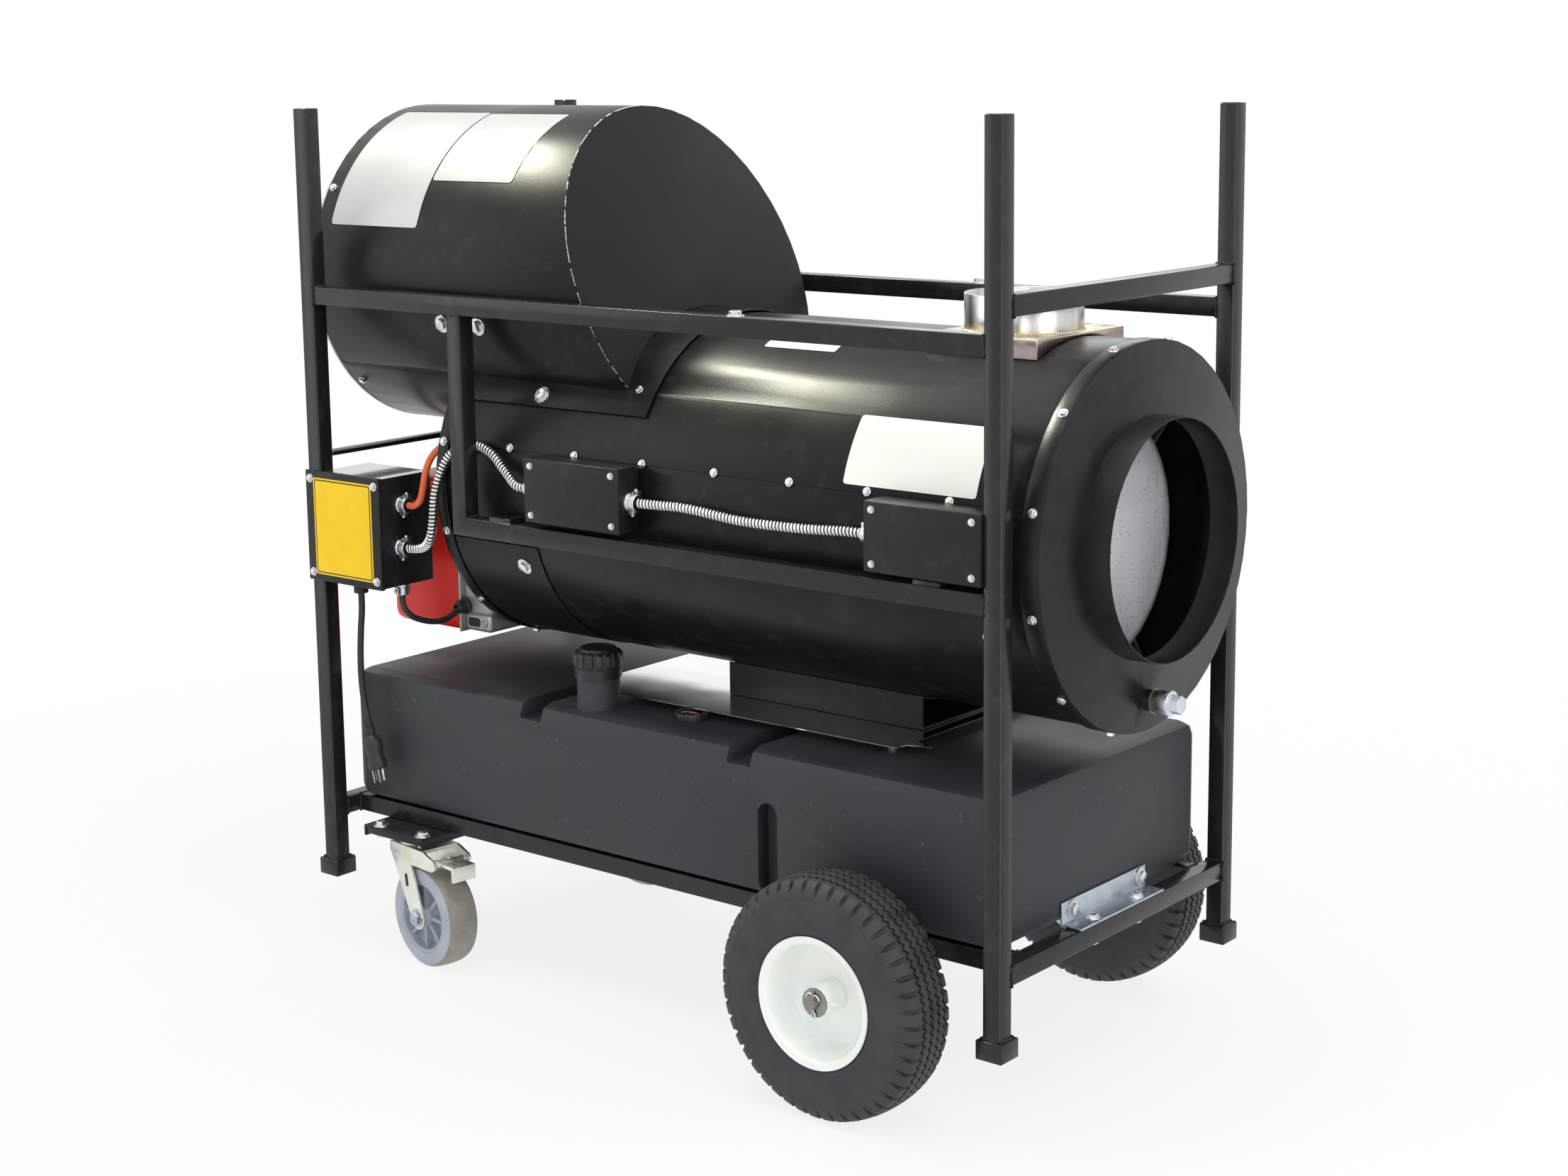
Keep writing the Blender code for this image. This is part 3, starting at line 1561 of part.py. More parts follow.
def ribbed_tube(route):
    """An armoured conduit: ribs of two radii along a smooth route, plain ends and a bore."""
    points = smooth_route(route, rib_pitch / 2)
    shares = []
    last = len(points) - 1
    for number in range(len(points)):
        plain = number < 3 or number > last - 3
        shares.append(1 if plain or number % 2 == 0 else rib_share)
    tube = wire(points, conduit_radius, shares)
    bore_points = smooth_route(route, 3 * rib_pitch)
    first = bore_points[0] * 2 - bore_points[1]
    final = bore_points[-1] * 2 - bore_points[-2]
    bore = wire([first, *bore_points[1:-1], final], conduit_bore)
    return settled(cut(tube, bore))


def make_conduits():
    start_x = control_right + connector_length + 2 * seat_gap
    box_end = junction_places[0] - connector_length - 2 * seat_gap
    start = (start_x, first_conduit_y, first_conduit_z)
    first = strung(start, (box_end, box_conduit_y, conduit_height), first_shares, conduit_radius)
    left = junction_places[0] + junction_width + connector_length + 2 * seat_gap
    right = junction_places[1] - connector_length - 2 * seat_gap
    start = (left, box_conduit_y, conduit_height)
    second = strung(start, (right, box_conduit_y, conduit_height), second_shares, conduit_radius)
    node("first_conduit", ribbed_tube(first), STEEL, None, True)
    node("second_conduit", ribbed_tube(second), STEEL, None, True)


def make_leads():
    gland_end = control_low + control_wall - connector_length - 2 * seat_gap
    start = (lead_gland_x, lead_gland_y, gland_end)
    end = (casting_right - lead_inset, -casting_half - seat_gap, casting_low + lead_rise)
    lead = strung(start, end, lead_shares, lead_radius, 1)
    tube = wire(smooth_route(lead, 5 * lead_radius), lead_radius)
    node("burner_lead", tube, BLACK_RUBBER, None, True)
    start_x = control_right + connector_length + 2 * seat_gap
    start = (start_x, orange_y, orange_z)
    end_y = -lip_radius + orange_end_seat[0]
    end = (drum_rear - seat_gap, end_y, drum_axis + orange_end_seat[1])
    orange = strung(start, end, orange_shares, orange_radius)
    tube = wire(smooth_route(orange, 5 * orange_radius), orange_radius)
    node("orange_cable", tube, ORANGE_PLASTIC, None, True)


# Power cord with its plug, hanging free
cord_radius = 0.0048
cord_pitch = 0.024
plug_shoulder = 0.013
plug_body_radius = 0.0155
plug_body_length = 0.050
relief_length = 0.018
relief_radius = 0.0078
relief_ribs = 4
relief_groove = 0.0022
rib_land_share = 0.6
rib_slope_share = 0.7
blade_length = 0.020
blade_width = 0.0063
blade_wall = 0.0016
blade_spread = 0.0063
ground_radius = 0.0024
ground_drop = 0.0075
cord_route = [
    (-0.5260, -0.262, 0.528),
    (-0.5300, -0.262, 0.495),
    (-0.5335, -0.262, 0.450),
    (-0.5330, -0.262, 0.415),
    (-0.5290, -0.262, 0.384),
]
cord_end = (-0.5215, -0.262, 0.3545)


def make_cord():
    gland_end = control_low + control_wall - connector_length - 2 * seat_gap
    route = [(cord_gland_x, cord_gland_y, gland_end), *cord_route, cord_end]
    points = smooth_route(route, cord_pitch)
    node("power_cord", wire(points, cord_radius), BLACK_RUBBER, None, True)
    axis = (Vector(cord_end) - Vector(cord_route[-1])).normalized()
    profile = [(0, seat_gap)]
    pitch = relief_length / relief_ribs
    for number in range(relief_ribs):
        low = seat_gap + pitch * number
        profile += [(relief_radius, low), (relief_radius, low + pitch * rib_land_share)]
        profile += [(relief_radius - relief_groove, low + pitch * rib_slope_share)]
    body_start = seat_gap + relief_length
    profile += [
        (plug_shoulder, body_start + plug_shoulder / 2),
        (plug_body_radius, body_start + plug_shoulder),
        (plug_body_radius, body_start + plug_body_length),
        (0, body_start + plug_body_length),
    ]
    plug = turned(profile, cord_end, axis, 12)
    turn = axis.to_track_quat("Z", "X").to_matrix().to_4x4()
    stand = Matrix.Translation(cord_end) @ turn
    face = body_start + plug_body_length
    for side in (-1, 1):
        centre = side * blade_spread
        blade = block(
            (centre - blade_wall / 2, -blade_width / 2 + ground_drop / 2, face - overrun),
            (centre + blade_wall / 2, blade_width / 2 + ground_drop / 2, face + blade_length),
        )
        blade.data.transform(stand)
        weld(plug, blade)
    ground = rod(
        (0, -ground_drop, face - overrun), (0, -ground_drop, face + blade_length), ground_radius, 8
    )
    ground.data.transform(stand)
    node("power_plug", settled(weld(plug, ground)), BLACK_RUBBER, None, True)


# Burner: red hood, cast body with its tube, motor and reset button
burner_overhang = 0.0004
hood_length = 0.146
hood_half = 0.128
hood_drop = 0.2446
hood_height = 0.225
hood_wall = 0.002
hood_round = 0.018
casting_half = 0.122
casting_drops = (0.2196, 0.0396)
casting_gap = 0.026
casting_round = 0.010
chassis_thickness = 0.004
neck_ring = 0.075
flange_half = 0.085
flange_thickness = 0.010
tube_radius = 0.050
tube_wall = 0.003
tube_reach = 0.076
burner_motor_radius = 0.045
burner_motor_y = 0.050
reset_radius = 0.0095
reset_proud = 0.005
reset_length = 0.016
reset_y = 0.040
reset_rise = 0.055
burner_rear = -half_length - burner_overhang
hood_right = burner_rear + hood_length
hood_low = drum_axis - hood_drop
casting_low = drum_axis - casting_drops[0]
casting_high = drum_axis - casting_drops[1]
casting_right = drum_rear - casting_gap
tube_end = drum_rear + tube_reach
hood_high = hood_low + hood_height


def make_burner():
    hood = block((burner_rear, -hood_half, hood_low), (hood_right + hood_round, hood_half, hood_high))
    hood = settled(bevel(hood, hood_round, 3))
    hollow = block(
        (burner_rear + hood_wall, -hood_half + hood_wall, hood_low + hood_wall),
        (hood_right + 2 * hood_round, hood_half - hood_wall, hood_high - hood_wall),
    )
    hollow = settled(bevel(hollow, hood_round - hood_wall, 3))
    open_side = block(
        (hood_right, -hood_half - overrun, hood_low - overrun),
        (hood_right + 2 * hood_round, hood_half + overrun, hood_high + overrun),
    )
    cut(hood, open_side, hollow)
    hole_start = (burner_rear - overrun, reset_y, burner_axis + reset_rise)
    hole_end = (burner_rear + overrun, reset_y, burner_axis + reset_rise)
    cut(hood, rod(hole_start, hole_end, reset_radius + 2 * seat_gap, 16))
    node("burner_hood", settled(hood), RED_PAINT, None, True)
    seat = hood_right + seat_gap
    inset = 2 * seat_gap
    chassis = block(
        (seat, -hood_half + inset, hood_low + inset),
        (seat + chassis_thickness, hood_half - inset, hood_high - inset),
    )
    casting = block(
        (seat + chassis_thickness / 2, -casting_half, casting_low),
        (casting_right, casting_half, casting_high),
    )
    casting = settled(bevel(casting, casting_round, 2))
    neck = rod(
        (casting_right - overrun, 0, burner_axis),
        (drum_rear - flange_thickness, 0, burner_axis),
        neck_ring,
        24,
    )
    flange_end = drum_rear - seat_gap
    flange = block(
        (flange_end - flange_thickness, -flange_half, burner_axis - flange_half),
        (flange_end, flange_half, burner_axis + flange_half),
    )
    blast = rod(
        (flange_end - flange_thickness / 2, 0, burner_axis),
        (tube_end, 0, burner_axis),
        tube_radius,
        24,
    )
    bore = rod(
        (drum_rear, 0, burner_axis),
        (tube_end + overrun, 0, burner_axis),
        tube_radius - tube_wall,
        24,
    )
    motor_start = (burner_rear + 2 * hood_round, burner_motor_y, burner_axis)
    motor_end = (seat + chassis_thickness / 2, burner_motor_y, burner_axis)
    motor = rod(motor_start, motor_end, burner_motor_radius, 20)
    body = cut(weld(casting, chassis, neck, flange, blast, motor), bore)
    node("burner_body", settled(body), CAST_ALUMINIUM, None, True)
    centre = (burner_rear - reset_proud, reset_y, burner_axis + reset_rise)
    button = rod(centre, (centre[0] + reset_length, centre[1], centre[2]), reset_radius, 16)
    node("reset_button", button, RED_PAINT, centre, True)


make_posts()
make_upper_rails()
make_mid_rails()
make_base_frame()
make_wheels()
make_axle()
make_channel()
make_casters()
make_tank()
make_gauge()
make_bracket()
make_shield()
make_saddle()
make_casing()
make_front_ring()
make_rear_plate()
make_cover()
make_housing()
make_slant_plate()
make_guard()
make_fan()
make_motor()
make_exchanger()
make_exhaust()
make_drain_plug()
make_junction_boxes()
make_control_box()
make_conduits()
make_leads()
make_cord()
make_burner()
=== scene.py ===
"""Indirect fired heater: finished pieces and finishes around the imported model.

Lengths are in metres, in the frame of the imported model: the warm air outlet is +X, the burner end
is -X, the side with the junction boxes is -Y, and the floor is z = 0.
"""
import math

import bmesh
import bpy
from mathutils import Matrix, Vector, noise


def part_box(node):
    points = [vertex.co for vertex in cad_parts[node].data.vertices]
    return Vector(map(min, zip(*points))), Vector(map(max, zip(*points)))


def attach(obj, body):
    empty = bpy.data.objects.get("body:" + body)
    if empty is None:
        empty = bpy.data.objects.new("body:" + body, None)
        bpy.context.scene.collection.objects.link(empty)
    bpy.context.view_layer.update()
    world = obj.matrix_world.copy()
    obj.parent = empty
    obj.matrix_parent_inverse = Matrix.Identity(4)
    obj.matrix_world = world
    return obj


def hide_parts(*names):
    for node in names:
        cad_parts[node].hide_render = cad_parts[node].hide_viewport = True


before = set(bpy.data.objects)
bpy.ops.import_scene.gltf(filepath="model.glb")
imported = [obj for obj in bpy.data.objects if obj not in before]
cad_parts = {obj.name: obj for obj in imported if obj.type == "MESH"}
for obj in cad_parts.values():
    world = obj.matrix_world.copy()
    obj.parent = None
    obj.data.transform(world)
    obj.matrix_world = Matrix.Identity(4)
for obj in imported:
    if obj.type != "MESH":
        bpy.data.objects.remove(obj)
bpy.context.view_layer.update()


# Studio: a pale floor that runs out to plain white, soft lamps overhead and to the left,
# and the camera low at the outlet corner, where the photographer stood.
def operator(operation, swapped=False):
    """The method for one operator of Value, or for its reflected form."""
    def method(self, other):
        first, second = (other, self) if swapped else (self, other)
        return self.nodes.node("ShaderNodeMath", {"operation": operation}, {0: first, 1: second})
    return method


class Value:
    """A shader socket that can stand in a sum."""

    def __init__(self, nodes, socket):
        self.nodes = nodes
        self.socket = socket

    __add__, __radd__ = operator("ADD"), operator("ADD", True)
    __sub__, __rsub__ = operator("SUBTRACT"), operator("SUBTRACT", True)
    __mul__, __rmul__ = operator("MULTIPLY"), operator("MULTIPLY", True)
    __pow__, __rpow__ = operator("POWER"), operator("POWER", True)


class Nodes:
    """A node tree, and the one method that adds to it."""

    def __init__(self, tree):
        self.tree = tree

    def node(self, kind, settings, inputs, output=0):
        made = self.tree.nodes.new(kind)
        for name, value in settings.items():
            setattr(made, name, value)
        for name, value in inputs.items():
            if isinstance(value, Value):
                self.tree.links.new(value.socket, made.inputs[name])
            else:
                made.inputs[name].default_value = value
        return Value(self, made.outputs[output])


class Finish(Nodes):
    """A material: one shader, and the nodes that vary it over the surface.

    Tones and rough are each one value, or a pair that the pattern sways between.  A pattern is a
    grain's arguments, and a relief is another grain's with the depth in metres that it raises.
    """

    def __init__(self, name, tones, rough, pattern=None, relief=None, metallic=0, specular=0.5, coat=0):
        self.material = bpy.data.materials.new(name)
        self.material.use_nodes = True
        super().__init__(self.material.node_tree)
        self.shader = self.tree.nodes["Principled BSDF"]
        plain = {"Metallic": metallic, "Specular IOR Level": specular, "Coat Weight": coat}
        cloud = self.grain(*pattern) if pattern else None
        if isinstance(tones[0], tuple):
            self.feed("Base Color", self.mix(cloud, *tones))
        else:
            plain["Base Color"] = (*tones, 1)
        if isinstance(rough, tuple):
            self.feed("Roughness", self.spread(cloud, 0, 1, *rough))
        else:
            plain["Roughness"] = rough
        if relief:
            height = {"Height": self.grain(*relief[:-1]), "Distance": relief[-1]}
            self.feed("Normal", self.node("ShaderNodeBump", {}, height))
        self.fix(plain)

    def fix(self, plain):
        for name, value in plain.items():
            self.shader.inputs[name].default_value = value

    def feed(self, name, value):
        self.tree.links.new(value.socket, self.shader.inputs[name])
        return self

    def place(self, stretch=(1, 1, 1)):
        where = self.node("ShaderNodeTexCoord", {}, {}, "Object")
        return self.node("ShaderNodeMapping", {}, {"Vector": where, "Scale": stretch})

    def axis(self, name):
        """The place along one axis, in metres."""
        return self.node("ShaderNodeSeparateXYZ", {}, {0: self.place()}, name)

    def grain(self, scale, detail=3, stretch=(1, 1, 1)):
        """A cloudy pattern from 0 to 1 whose clouds are about 1/scale metres wide."""
        inputs = {"Vector": self.place(stretch), "Scale": scale, "Detail": detail}
        return self.spread(self.node("ShaderNodeTexNoise", {}, inputs), 0.3, 0.7)

    def spread(self, value, low, high, to_low=0, to_high=1):
        inputs = {0: value, 1: low, 2: high, 3: to_low, 4: to_high}
        return self.node("ShaderNodeMapRange", {"clamp": True}, inputs)

    def mix(self, share, first, second):
        """A colour between two, each a colour or a Value."""
        first, second = (c if isinstance(c, Value) else (*c, 1) for c in (first, second))
        return self.node("ShaderNodeMix", {"data_type": "RGBA"}, {0: share, 6: first, 7: second}, 2)


def linked(name, data):
    """The object of a mesh, curve, lamp or camera."""
    thing = bpy.data.objects.new(name, data)
    bpy.context.collection.objects.link(thing)
    return thing


def rotation(degrees, axis="Z"):
    return Matrix.Rotation(math.radians(degrees), 4, axis)


floor_reach, clear_floor, white_floor, floor_shade = 30, 1.1, 2.6, 0.82
backdrop = Finish("backdrop", (0.93, 0.93, 0.93), 0.9, specular=0)
outward = backdrop.node("ShaderNodeVectorMath", {"operation": "LENGTH"}, {0: backdrop.place()}, "Value")
plain = backdrop.node("ShaderNodeEmission", {}, {"Color": (1, 1, 1, 1), "Strength": 1})
shaded = Value(backdrop, backdrop.shader.outputs[0])
share = backdrop.spread(outward, clear_floor, white_floor, floor_shade, 1)
floor_look = backdrop.node("ShaderNodeMixShader", {}, {0: share, 1: shaded, 2: plain})
surface = backdrop.tree.nodes["Material Output"].inputs["Surface"]
backdrop.tree.links.new(floor_look.socket, surface)
bm = bmesh.new()
bmesh.ops.create_circle(bm, cap_ends=True, segments=64, radius=floor_reach)
floor = linked("floor", bpy.data.meshes.new("floor"))
bm.to_mesh(floor.data)
bm.free()
floor.data.materials.append(backdrop.material)

lamps = (
    ("overhead", (0.3, -0.6, 3.4), (0, 0, 0.6), (2.6, 3.0), 52),
    ("left_front", (-2.6, -2.4, 1.8), (-0.2, 0, 0.6), (1.6, 2.2), 11),
    ("right_front", (3.2, -0.6, 1.7), (0.4, 0, 0.6), (1.4, 2.0), 26),
    ("behind", (-0.6, 3.2, 2.4), (0, 0, 0.8), (2.6, 1.4), 20),
    ("edge_strip", (2.9, -3.7, 1.7), (0, 0, 0.7), (0.22, 2.6), 20),
    ("drum_glow", (-1.5, -0.35, 2.8), (0.1, -0.17, 0.9), (0.8, 0.3), 80),
)
for name, spot, target, size, power in lamps:
    lamp = bpy.data.lights.new(name, "AREA")
    lamp.shape = "RECTANGLE"
    lamp.size, lamp.size_y = size
    lamp.energy = power
    stand = linked(name, lamp)
    stand.location = spot
    stand.rotation_euler = (Vector(target) - Vector(spot)).to_track_quat("-Z", "Y").to_euler()
# The last one, drum_glow, makes only the warm highlight along the drum.
lamp.color = (1, 0.98, 0.80)
stand.visible_diffuse = False

world = bpy.data.worlds.new("studio")
world.use_nodes = True
bpy.context.scene.world = world
sky = Nodes(world.node_tree)
bright = sky.node("ShaderNodeLightPath", {}, {}, "Is Camera Ray")
for ray in ("Is Transmission Ray", "Is Glossy Ray"):
    kind = sky.node("ShaderNodeLightPath", {}, {}, ray)
    bright = sky.node("ShaderNodeMath", {"operation": "MAXIMUM"}, {0: bright, 1: kind})
level = sky.node("ShaderNodeMapRange", {}, {"Value": bright, "To Min": 0.55})
background = sky.tree.nodes["Background"]
background.inputs["Color"].default_value = (1, 1, 1, 1)
sky.tree.links.new(level.socket, background.inputs["Strength"])

image_width, focal_pixels, shift_pixels = 2212, 3647.9, (18.0, -114.3)
camera_spot = (2.25038, -2.73132, 1.32424)
camera_yaw, camera_pitch, camera_roll = 39.429, 10.077, -0.738
camera = bpy.data.cameras.new("camera")
camera.sensor_width = 36
camera.lens = camera.sensor_width * focal_pixels / image_width
camera.shift_x = shift_pixels[0] / image_width
camera.shift_y = shift_pixels[1] / image_width
tripod = linked("camera", camera)
turn = Matrix.Identity(4)
for degrees, about in ((camera_yaw, "Z"), (90 - camera_pitch, "X"), (camera_roll, "Z")):
    turn = turn @ rotation(degrees, about)
tripod.matrix_world = Matrix.Translation(camera_spot) @ turn
bpy.context.scene.camera = tripod
bpy.context.scene.view_settings.view_transform = "Standard"


# Power cord: black round rubber, straight down out of its gland under the control box, and a
# moulded plug with a ribbed strain relief that hangs beside the tank.
def riding(name, data, finish, body, replaced):
    """The object of a mesh or curve, in its finish and on its body."""
    data.materials.append(finish.material)
    piece = linked(name, data)
    if replaced:
        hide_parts(replaced)
    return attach(piece, body)


def finished(name, bm, finish, body="heater", replaced=None, sharp=35):
    """The smooth piece of a shape; edges that turn by more than sharp degrees stay crisp."""
    mesh = bpy.data.meshes.new(name)
    bm.to_mesh(mesh)
    bm.free()
    mesh.shade_smooth()
    mesh.set_sharp_from_angle(angle=math.radians(sharp))
    return riding(name, mesh, finish, body, replaced)


def cad_copy(node):
    """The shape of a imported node, with its triangles joined up."""
    bm = bmesh.new()
    bm.from_mesh(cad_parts[node].data)
    bmesh.ops.remove_doubles(bm, verts=bm.verts, dist=0.00001)
    bmesh.ops.dissolve_limit(bm, angle_limit=math.radians(0.4), verts=bm.verts, edges=bm.edges)
    return bm


def round_edges(bm, width, segments=2, fold=30):
    """Round every edge that turns by more than fold degrees."""
    folds = [e for e in bm.edges if len(e.link_faces) == 2 and e.calc_face_angle() > math.radians(fold)]
    bmesh.ops.bevel(
        bm, geom=folds, offset=width, offset_type="OFFSET", segments=segments, profile=0.5,
        affect="EDGES", material=-1, clamp_overlap=True,
    )
    return bm


def dressed(name, node, finish, width, segments=2, fold=30, body="heater", sharp=35):
    """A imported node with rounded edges, in its finish."""
    return finished(name, round_edges(cad_copy(node), width, segments, fold), finish, body, node, sharp)


def stand_at(point, outward):
    """The matrix that stands a shape on a point, with its z axis outward."""
    return Matrix.Translation(point) @ Vector(outward).to_track_quat("Z", "Y").to_matrix().to_4x4()


def block(bm, size, middle=(0, 0, 0), matrix=Matrix.Identity(4)):
    """A box round a middle, moved by a matrix."""
    made = bmesh.ops.create_cube(bm, size=1)["verts"]
    bmesh.ops.scale(bm, vec=size, verts=made)
    bmesh.ops.translate(bm, vec=middle, verts=made)
    bmesh.ops.transform(bm, matrix=matrix, verts=made)
    return made


def peg(bm, matrix, sides, radius, tip, depth):
    """A bar with flat ends about the z axis of a matrix, from one radius to the one of its tip."""
    made = bmesh.ops.create_cone(
        bm, cap_ends=True, segments=sides, radius1=radius, radius2=tip, depth=depth
    )["verts"]
    bmesh.ops.transform(bm, matrix=matrix, verts=made)


def mm(*numbers):
    """(radius, height) points in metres, from a row of millimetres."""
    return [(radius / 1000, height / 1000) for radius, height in zip(numbers[::2], numbers[1::2])]


def turned(bm, profile, matrix=Matrix.Identity(4), steps=64):
    """Spin a profile of (radius, height) points round the z axis of a matrix."""
    ring = [bm.verts.new((radius, 0, height)) for radius, height in profile]
    edges = [bm.edges.new(pair) for pair in zip(ring, ring[1:])]
    before = set(bm.verts) - set(ring)
    bmesh.ops.spin(
        bm, geom=ring + edges, cent=(0, 0, 0), axis=(0, 0, 1), dvec=(0, 0, 0), angle=math.tau,
        steps=steps, use_merge=True,
    )
    made = [v for v in bm.verts if v not in before]
    bmesh.ops.remove_doubles(bm, verts=made, dist=0.000005)
    made = [v for v in bm.verts if v not in before]
    faces = [f for f in bm.faces if f.verts[0] not in before]
    bmesh.ops.recalc_face_normals(bm, faces=faces)
    bmesh.ops.transform(bm, matrix=matrix, verts=made)
    return made


def route_through(route, pitch):
    """Points about a pitch apart on a smooth curve through the given ones."""
    slopes = [(route[1] - route[0]).normalized()]
    for before, point, after in zip(route, route[1:], route[2:]):
        come = point - before
        leave = after - point
        slope = come.normalized() * leave.length + leave.normalized() * come.length
        slopes.append(slope / (come.length + leave.length))
    slopes.append((route[-1] - route[-2]).normalized())
    dense = []
    for start, end, leave, arrive in zip(route, route[1:], slopes, slopes[1:]):
        length = (end - start).length
        count = max(1, round(length / pitch))
        for step in range(count):
            t = step / count
            along = start * (2 * t - 3) * t * t + end * (3 - 2 * t) * t * t + start
            bend = leave * (t - 1) ** 2 * t + arrive * (t - 1) * t * t
            dense.append(along + bend * length)
    dense.append(route[-1])
    return dense


def laid(*numbers):
    """The points of a route, from a row of millimetres measured from the middle of the frame."""
    middle_x = -0.02935
    places = zip(numbers[::3], numbers[1::3], numbers[2::3])
    return [Vector([place / 1000 for place in point]) + Vector((middle_x, 0, 0)) for point in places]


def tube(name, points, radius, finish, sides=3, replaced=None):
    """A round lead along points, as a curve."""
    curve = bpy.data.curves.new(name, "CURVE")
    curve.dimensions = "3D"
    curve.bevel_depth = radius
    curve.bevel_resolution = sides
    curve.use_fill_caps = True
    spline = curve.splines.new("POLY")
    spline.points.add(len(points) - 1)
    for made, point in zip(spline.points, points):
        made.co = (*point, 1)
    spline.use_smooth = True
    return riding(name, curve, finish, "heater", replaced)


black_rubber = Finish(
    "black_rubber", (0.022, 0.023, 0.026), (0.34, 0.55), (60, 3), (900, 2, 0.00003), specular=0.4
)
cord_radius = 0.0048
cord_route = laid(
    -526, -262, 549.6, -526, -262, 528, -530, -262, 495, -533.5, -262, 450,
    -533, -262, 415, -529, -262, 384, -521.5, -262, 354.5,
)
cord_route[0].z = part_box("power_cord")[1].z
cord_points = route_through(cord_route, 0.007)
power_cord = tube("power_cord_flex", cord_points, cord_radius, black_rubber, 4, "power_cord")

plug_axis = (cord_route[-1] - cord_route[-2]).normalized()
plug_stand = Matrix.Translation(cord_route[-1]) @ plug_axis.to_track_quat("Z", "X").to_matrix().to_4x4()
relief_start, relief_radius, groove_radius, relief_ribs, rib_pitch = 0.0004, 0.0074, 0.0056, 6, 0.003
plug_start, plug_end, plug_flatness = 0.0183, 0.0683, 0.88
profile = [(0, relief_start), (relief_radius, relief_start)]
for rib in range(relief_ribs):
    for radius, shares in ((relief_radius, (0.55,)), (groove_radius, (0.65, 0.9)), (relief_radius, (1,))):
        profile += [(radius, relief_start + rib_pitch * (rib + share)) for share in shares]
profile += mm(
    10.944, 22.3, 14.44, 29.3, 15.2, 35.3, 13.072, 44.3, 12.768, 50.3, 15.2, 59.3, 15.2, 66.3,
    13.2, 68.3, 0, 68.3,
)
bm = bmesh.new()
for vert in turned(bm, profile, steps=48):
    if vert.co.z > plug_start + 0.006:
        vert.co.y *= plug_flatness
bmesh.ops.transform(bm, matrix=plug_stand, verts=bm.verts)
plug = finished("plug_body", bm, black_rubber, replaced="power_plug")

blade_metal = Finish("blade_metal", (0.62, 0.60, 0.55), (0.2, 0.42), (300, 2), metallic=1)
blade_size = (0.0016, 0.0063, 0.0205)
blade_spread, blade_shift, pin_radius, pin_length = 0.0063, 0.00375, 0.0024, 0.0185
bm = bmesh.new()
for side in (-1, 1):
    block(bm, blade_size, (side * blade_spread, blade_shift, plug_end + 0.0097))
pin_root = Matrix.Translation((0, -2 * blade_shift, plug_end + 0.0088))
peg(bm, pin_root, 20, pin_radius, pin_radius, pin_length)
tip = bmesh.ops.create_uvsphere(bm, u_segments=20, v_segments=10, radius=pin_radius)["verts"]
bmesh.ops.translate(bm, vec=(0, -2 * blade_shift, plug_end + 0.0174), verts=tip)
round_edges(bm, 0.0003, 2, 60)
bmesh.ops.transform(bm, matrix=plug_stand, verts=bm.verts)
blades = finished("plug_blades", bm, blade_metal)


# Tube frame: square steel tube with rounded corners, welded at every joint and powder coated
# semi-gloss black.  The feet are short stubs of larger tube, with weld spatter on their tops.
def powder_coat(name, colour=(0.012, 0.012, 0.013), rough=(0.26, 0.40), specular=0.26):
    """Semi-gloss black paint: orange peel, faint dust and dull patches."""
    paint = Finish(name, colour, rough, (7, 4), (420, 2, 0.00004), specular=specular)
    dust = paint.spread(paint.grain(38, 5), 0.62, 1, 0, 0.30)
    return paint.feed("Base Color", paint.mix(dust, colour, tuple(channel + 0.030 for channel in colour)))


frame_paint = powder_coat("frame_paint", rough=(0.16, 0.28), specular=0.36)
posts = ("near_burner_post", "far_burner_post", "near_outlet_post", "far_outlet_post")
rails = ("near_upper_rail", "far_upper_rail", "upper_end_rail", "near_mid_rail", "far_mid_rail")
for name in posts + rails:
    dressed(f"{name}_tube", name, frame_paint, 0.0022)
dressed("base_frame_tube", "base_frame", frame_paint, 0.0012)

# Without a seed, noise_vector starts from the clock, and the weld would differ from run to run.
noise.seed_set(1)


def bead(bm, spot, radius, matrix=Matrix.Identity(4)):
    """One drop of weld metal."""
    drop = bmesh.ops.create_icosphere(bm, subdivisions=1, radius=radius)["verts"]
    bmesh.ops.translate(bm, vec=spot, verts=drop)
    bmesh.ops.transform(bm, matrix=matrix, verts=drop)


def weld_run(bm, start, end, size):
    """A run of weld: overlapping flat drops, each a little off its place."""
    start, end = Vector(start), Vector(end)
    count = max(2, round((end - start).length / (size * 1.1)))
    for number in range(count + 1):
        spot = start.lerp(end, number / count)
        wobble = noise.noise_vector(spot * 190)
        bead(bm, spot + wobble * size * 0.35, size * (1 + 0.3 * wobble.x))


def weld_ring(bm, low, high, axis, size=0.0021):
    """Weld round a square joint: the four edges of a box's face across an axis."""
    first, second = (a for a in range(3) if a != axis)
    corners = []
    for picks in ((low, low), (high, low), (high, high), (low, high)):
        corner = Vector(low)
        corner[first], corner[second] = picks[0][first], picks[1][second]
        corners.append(corner)
    for start, end in zip(corners, corners[1:] + corners[:1]):
        weld_run(bm, start, end, size)


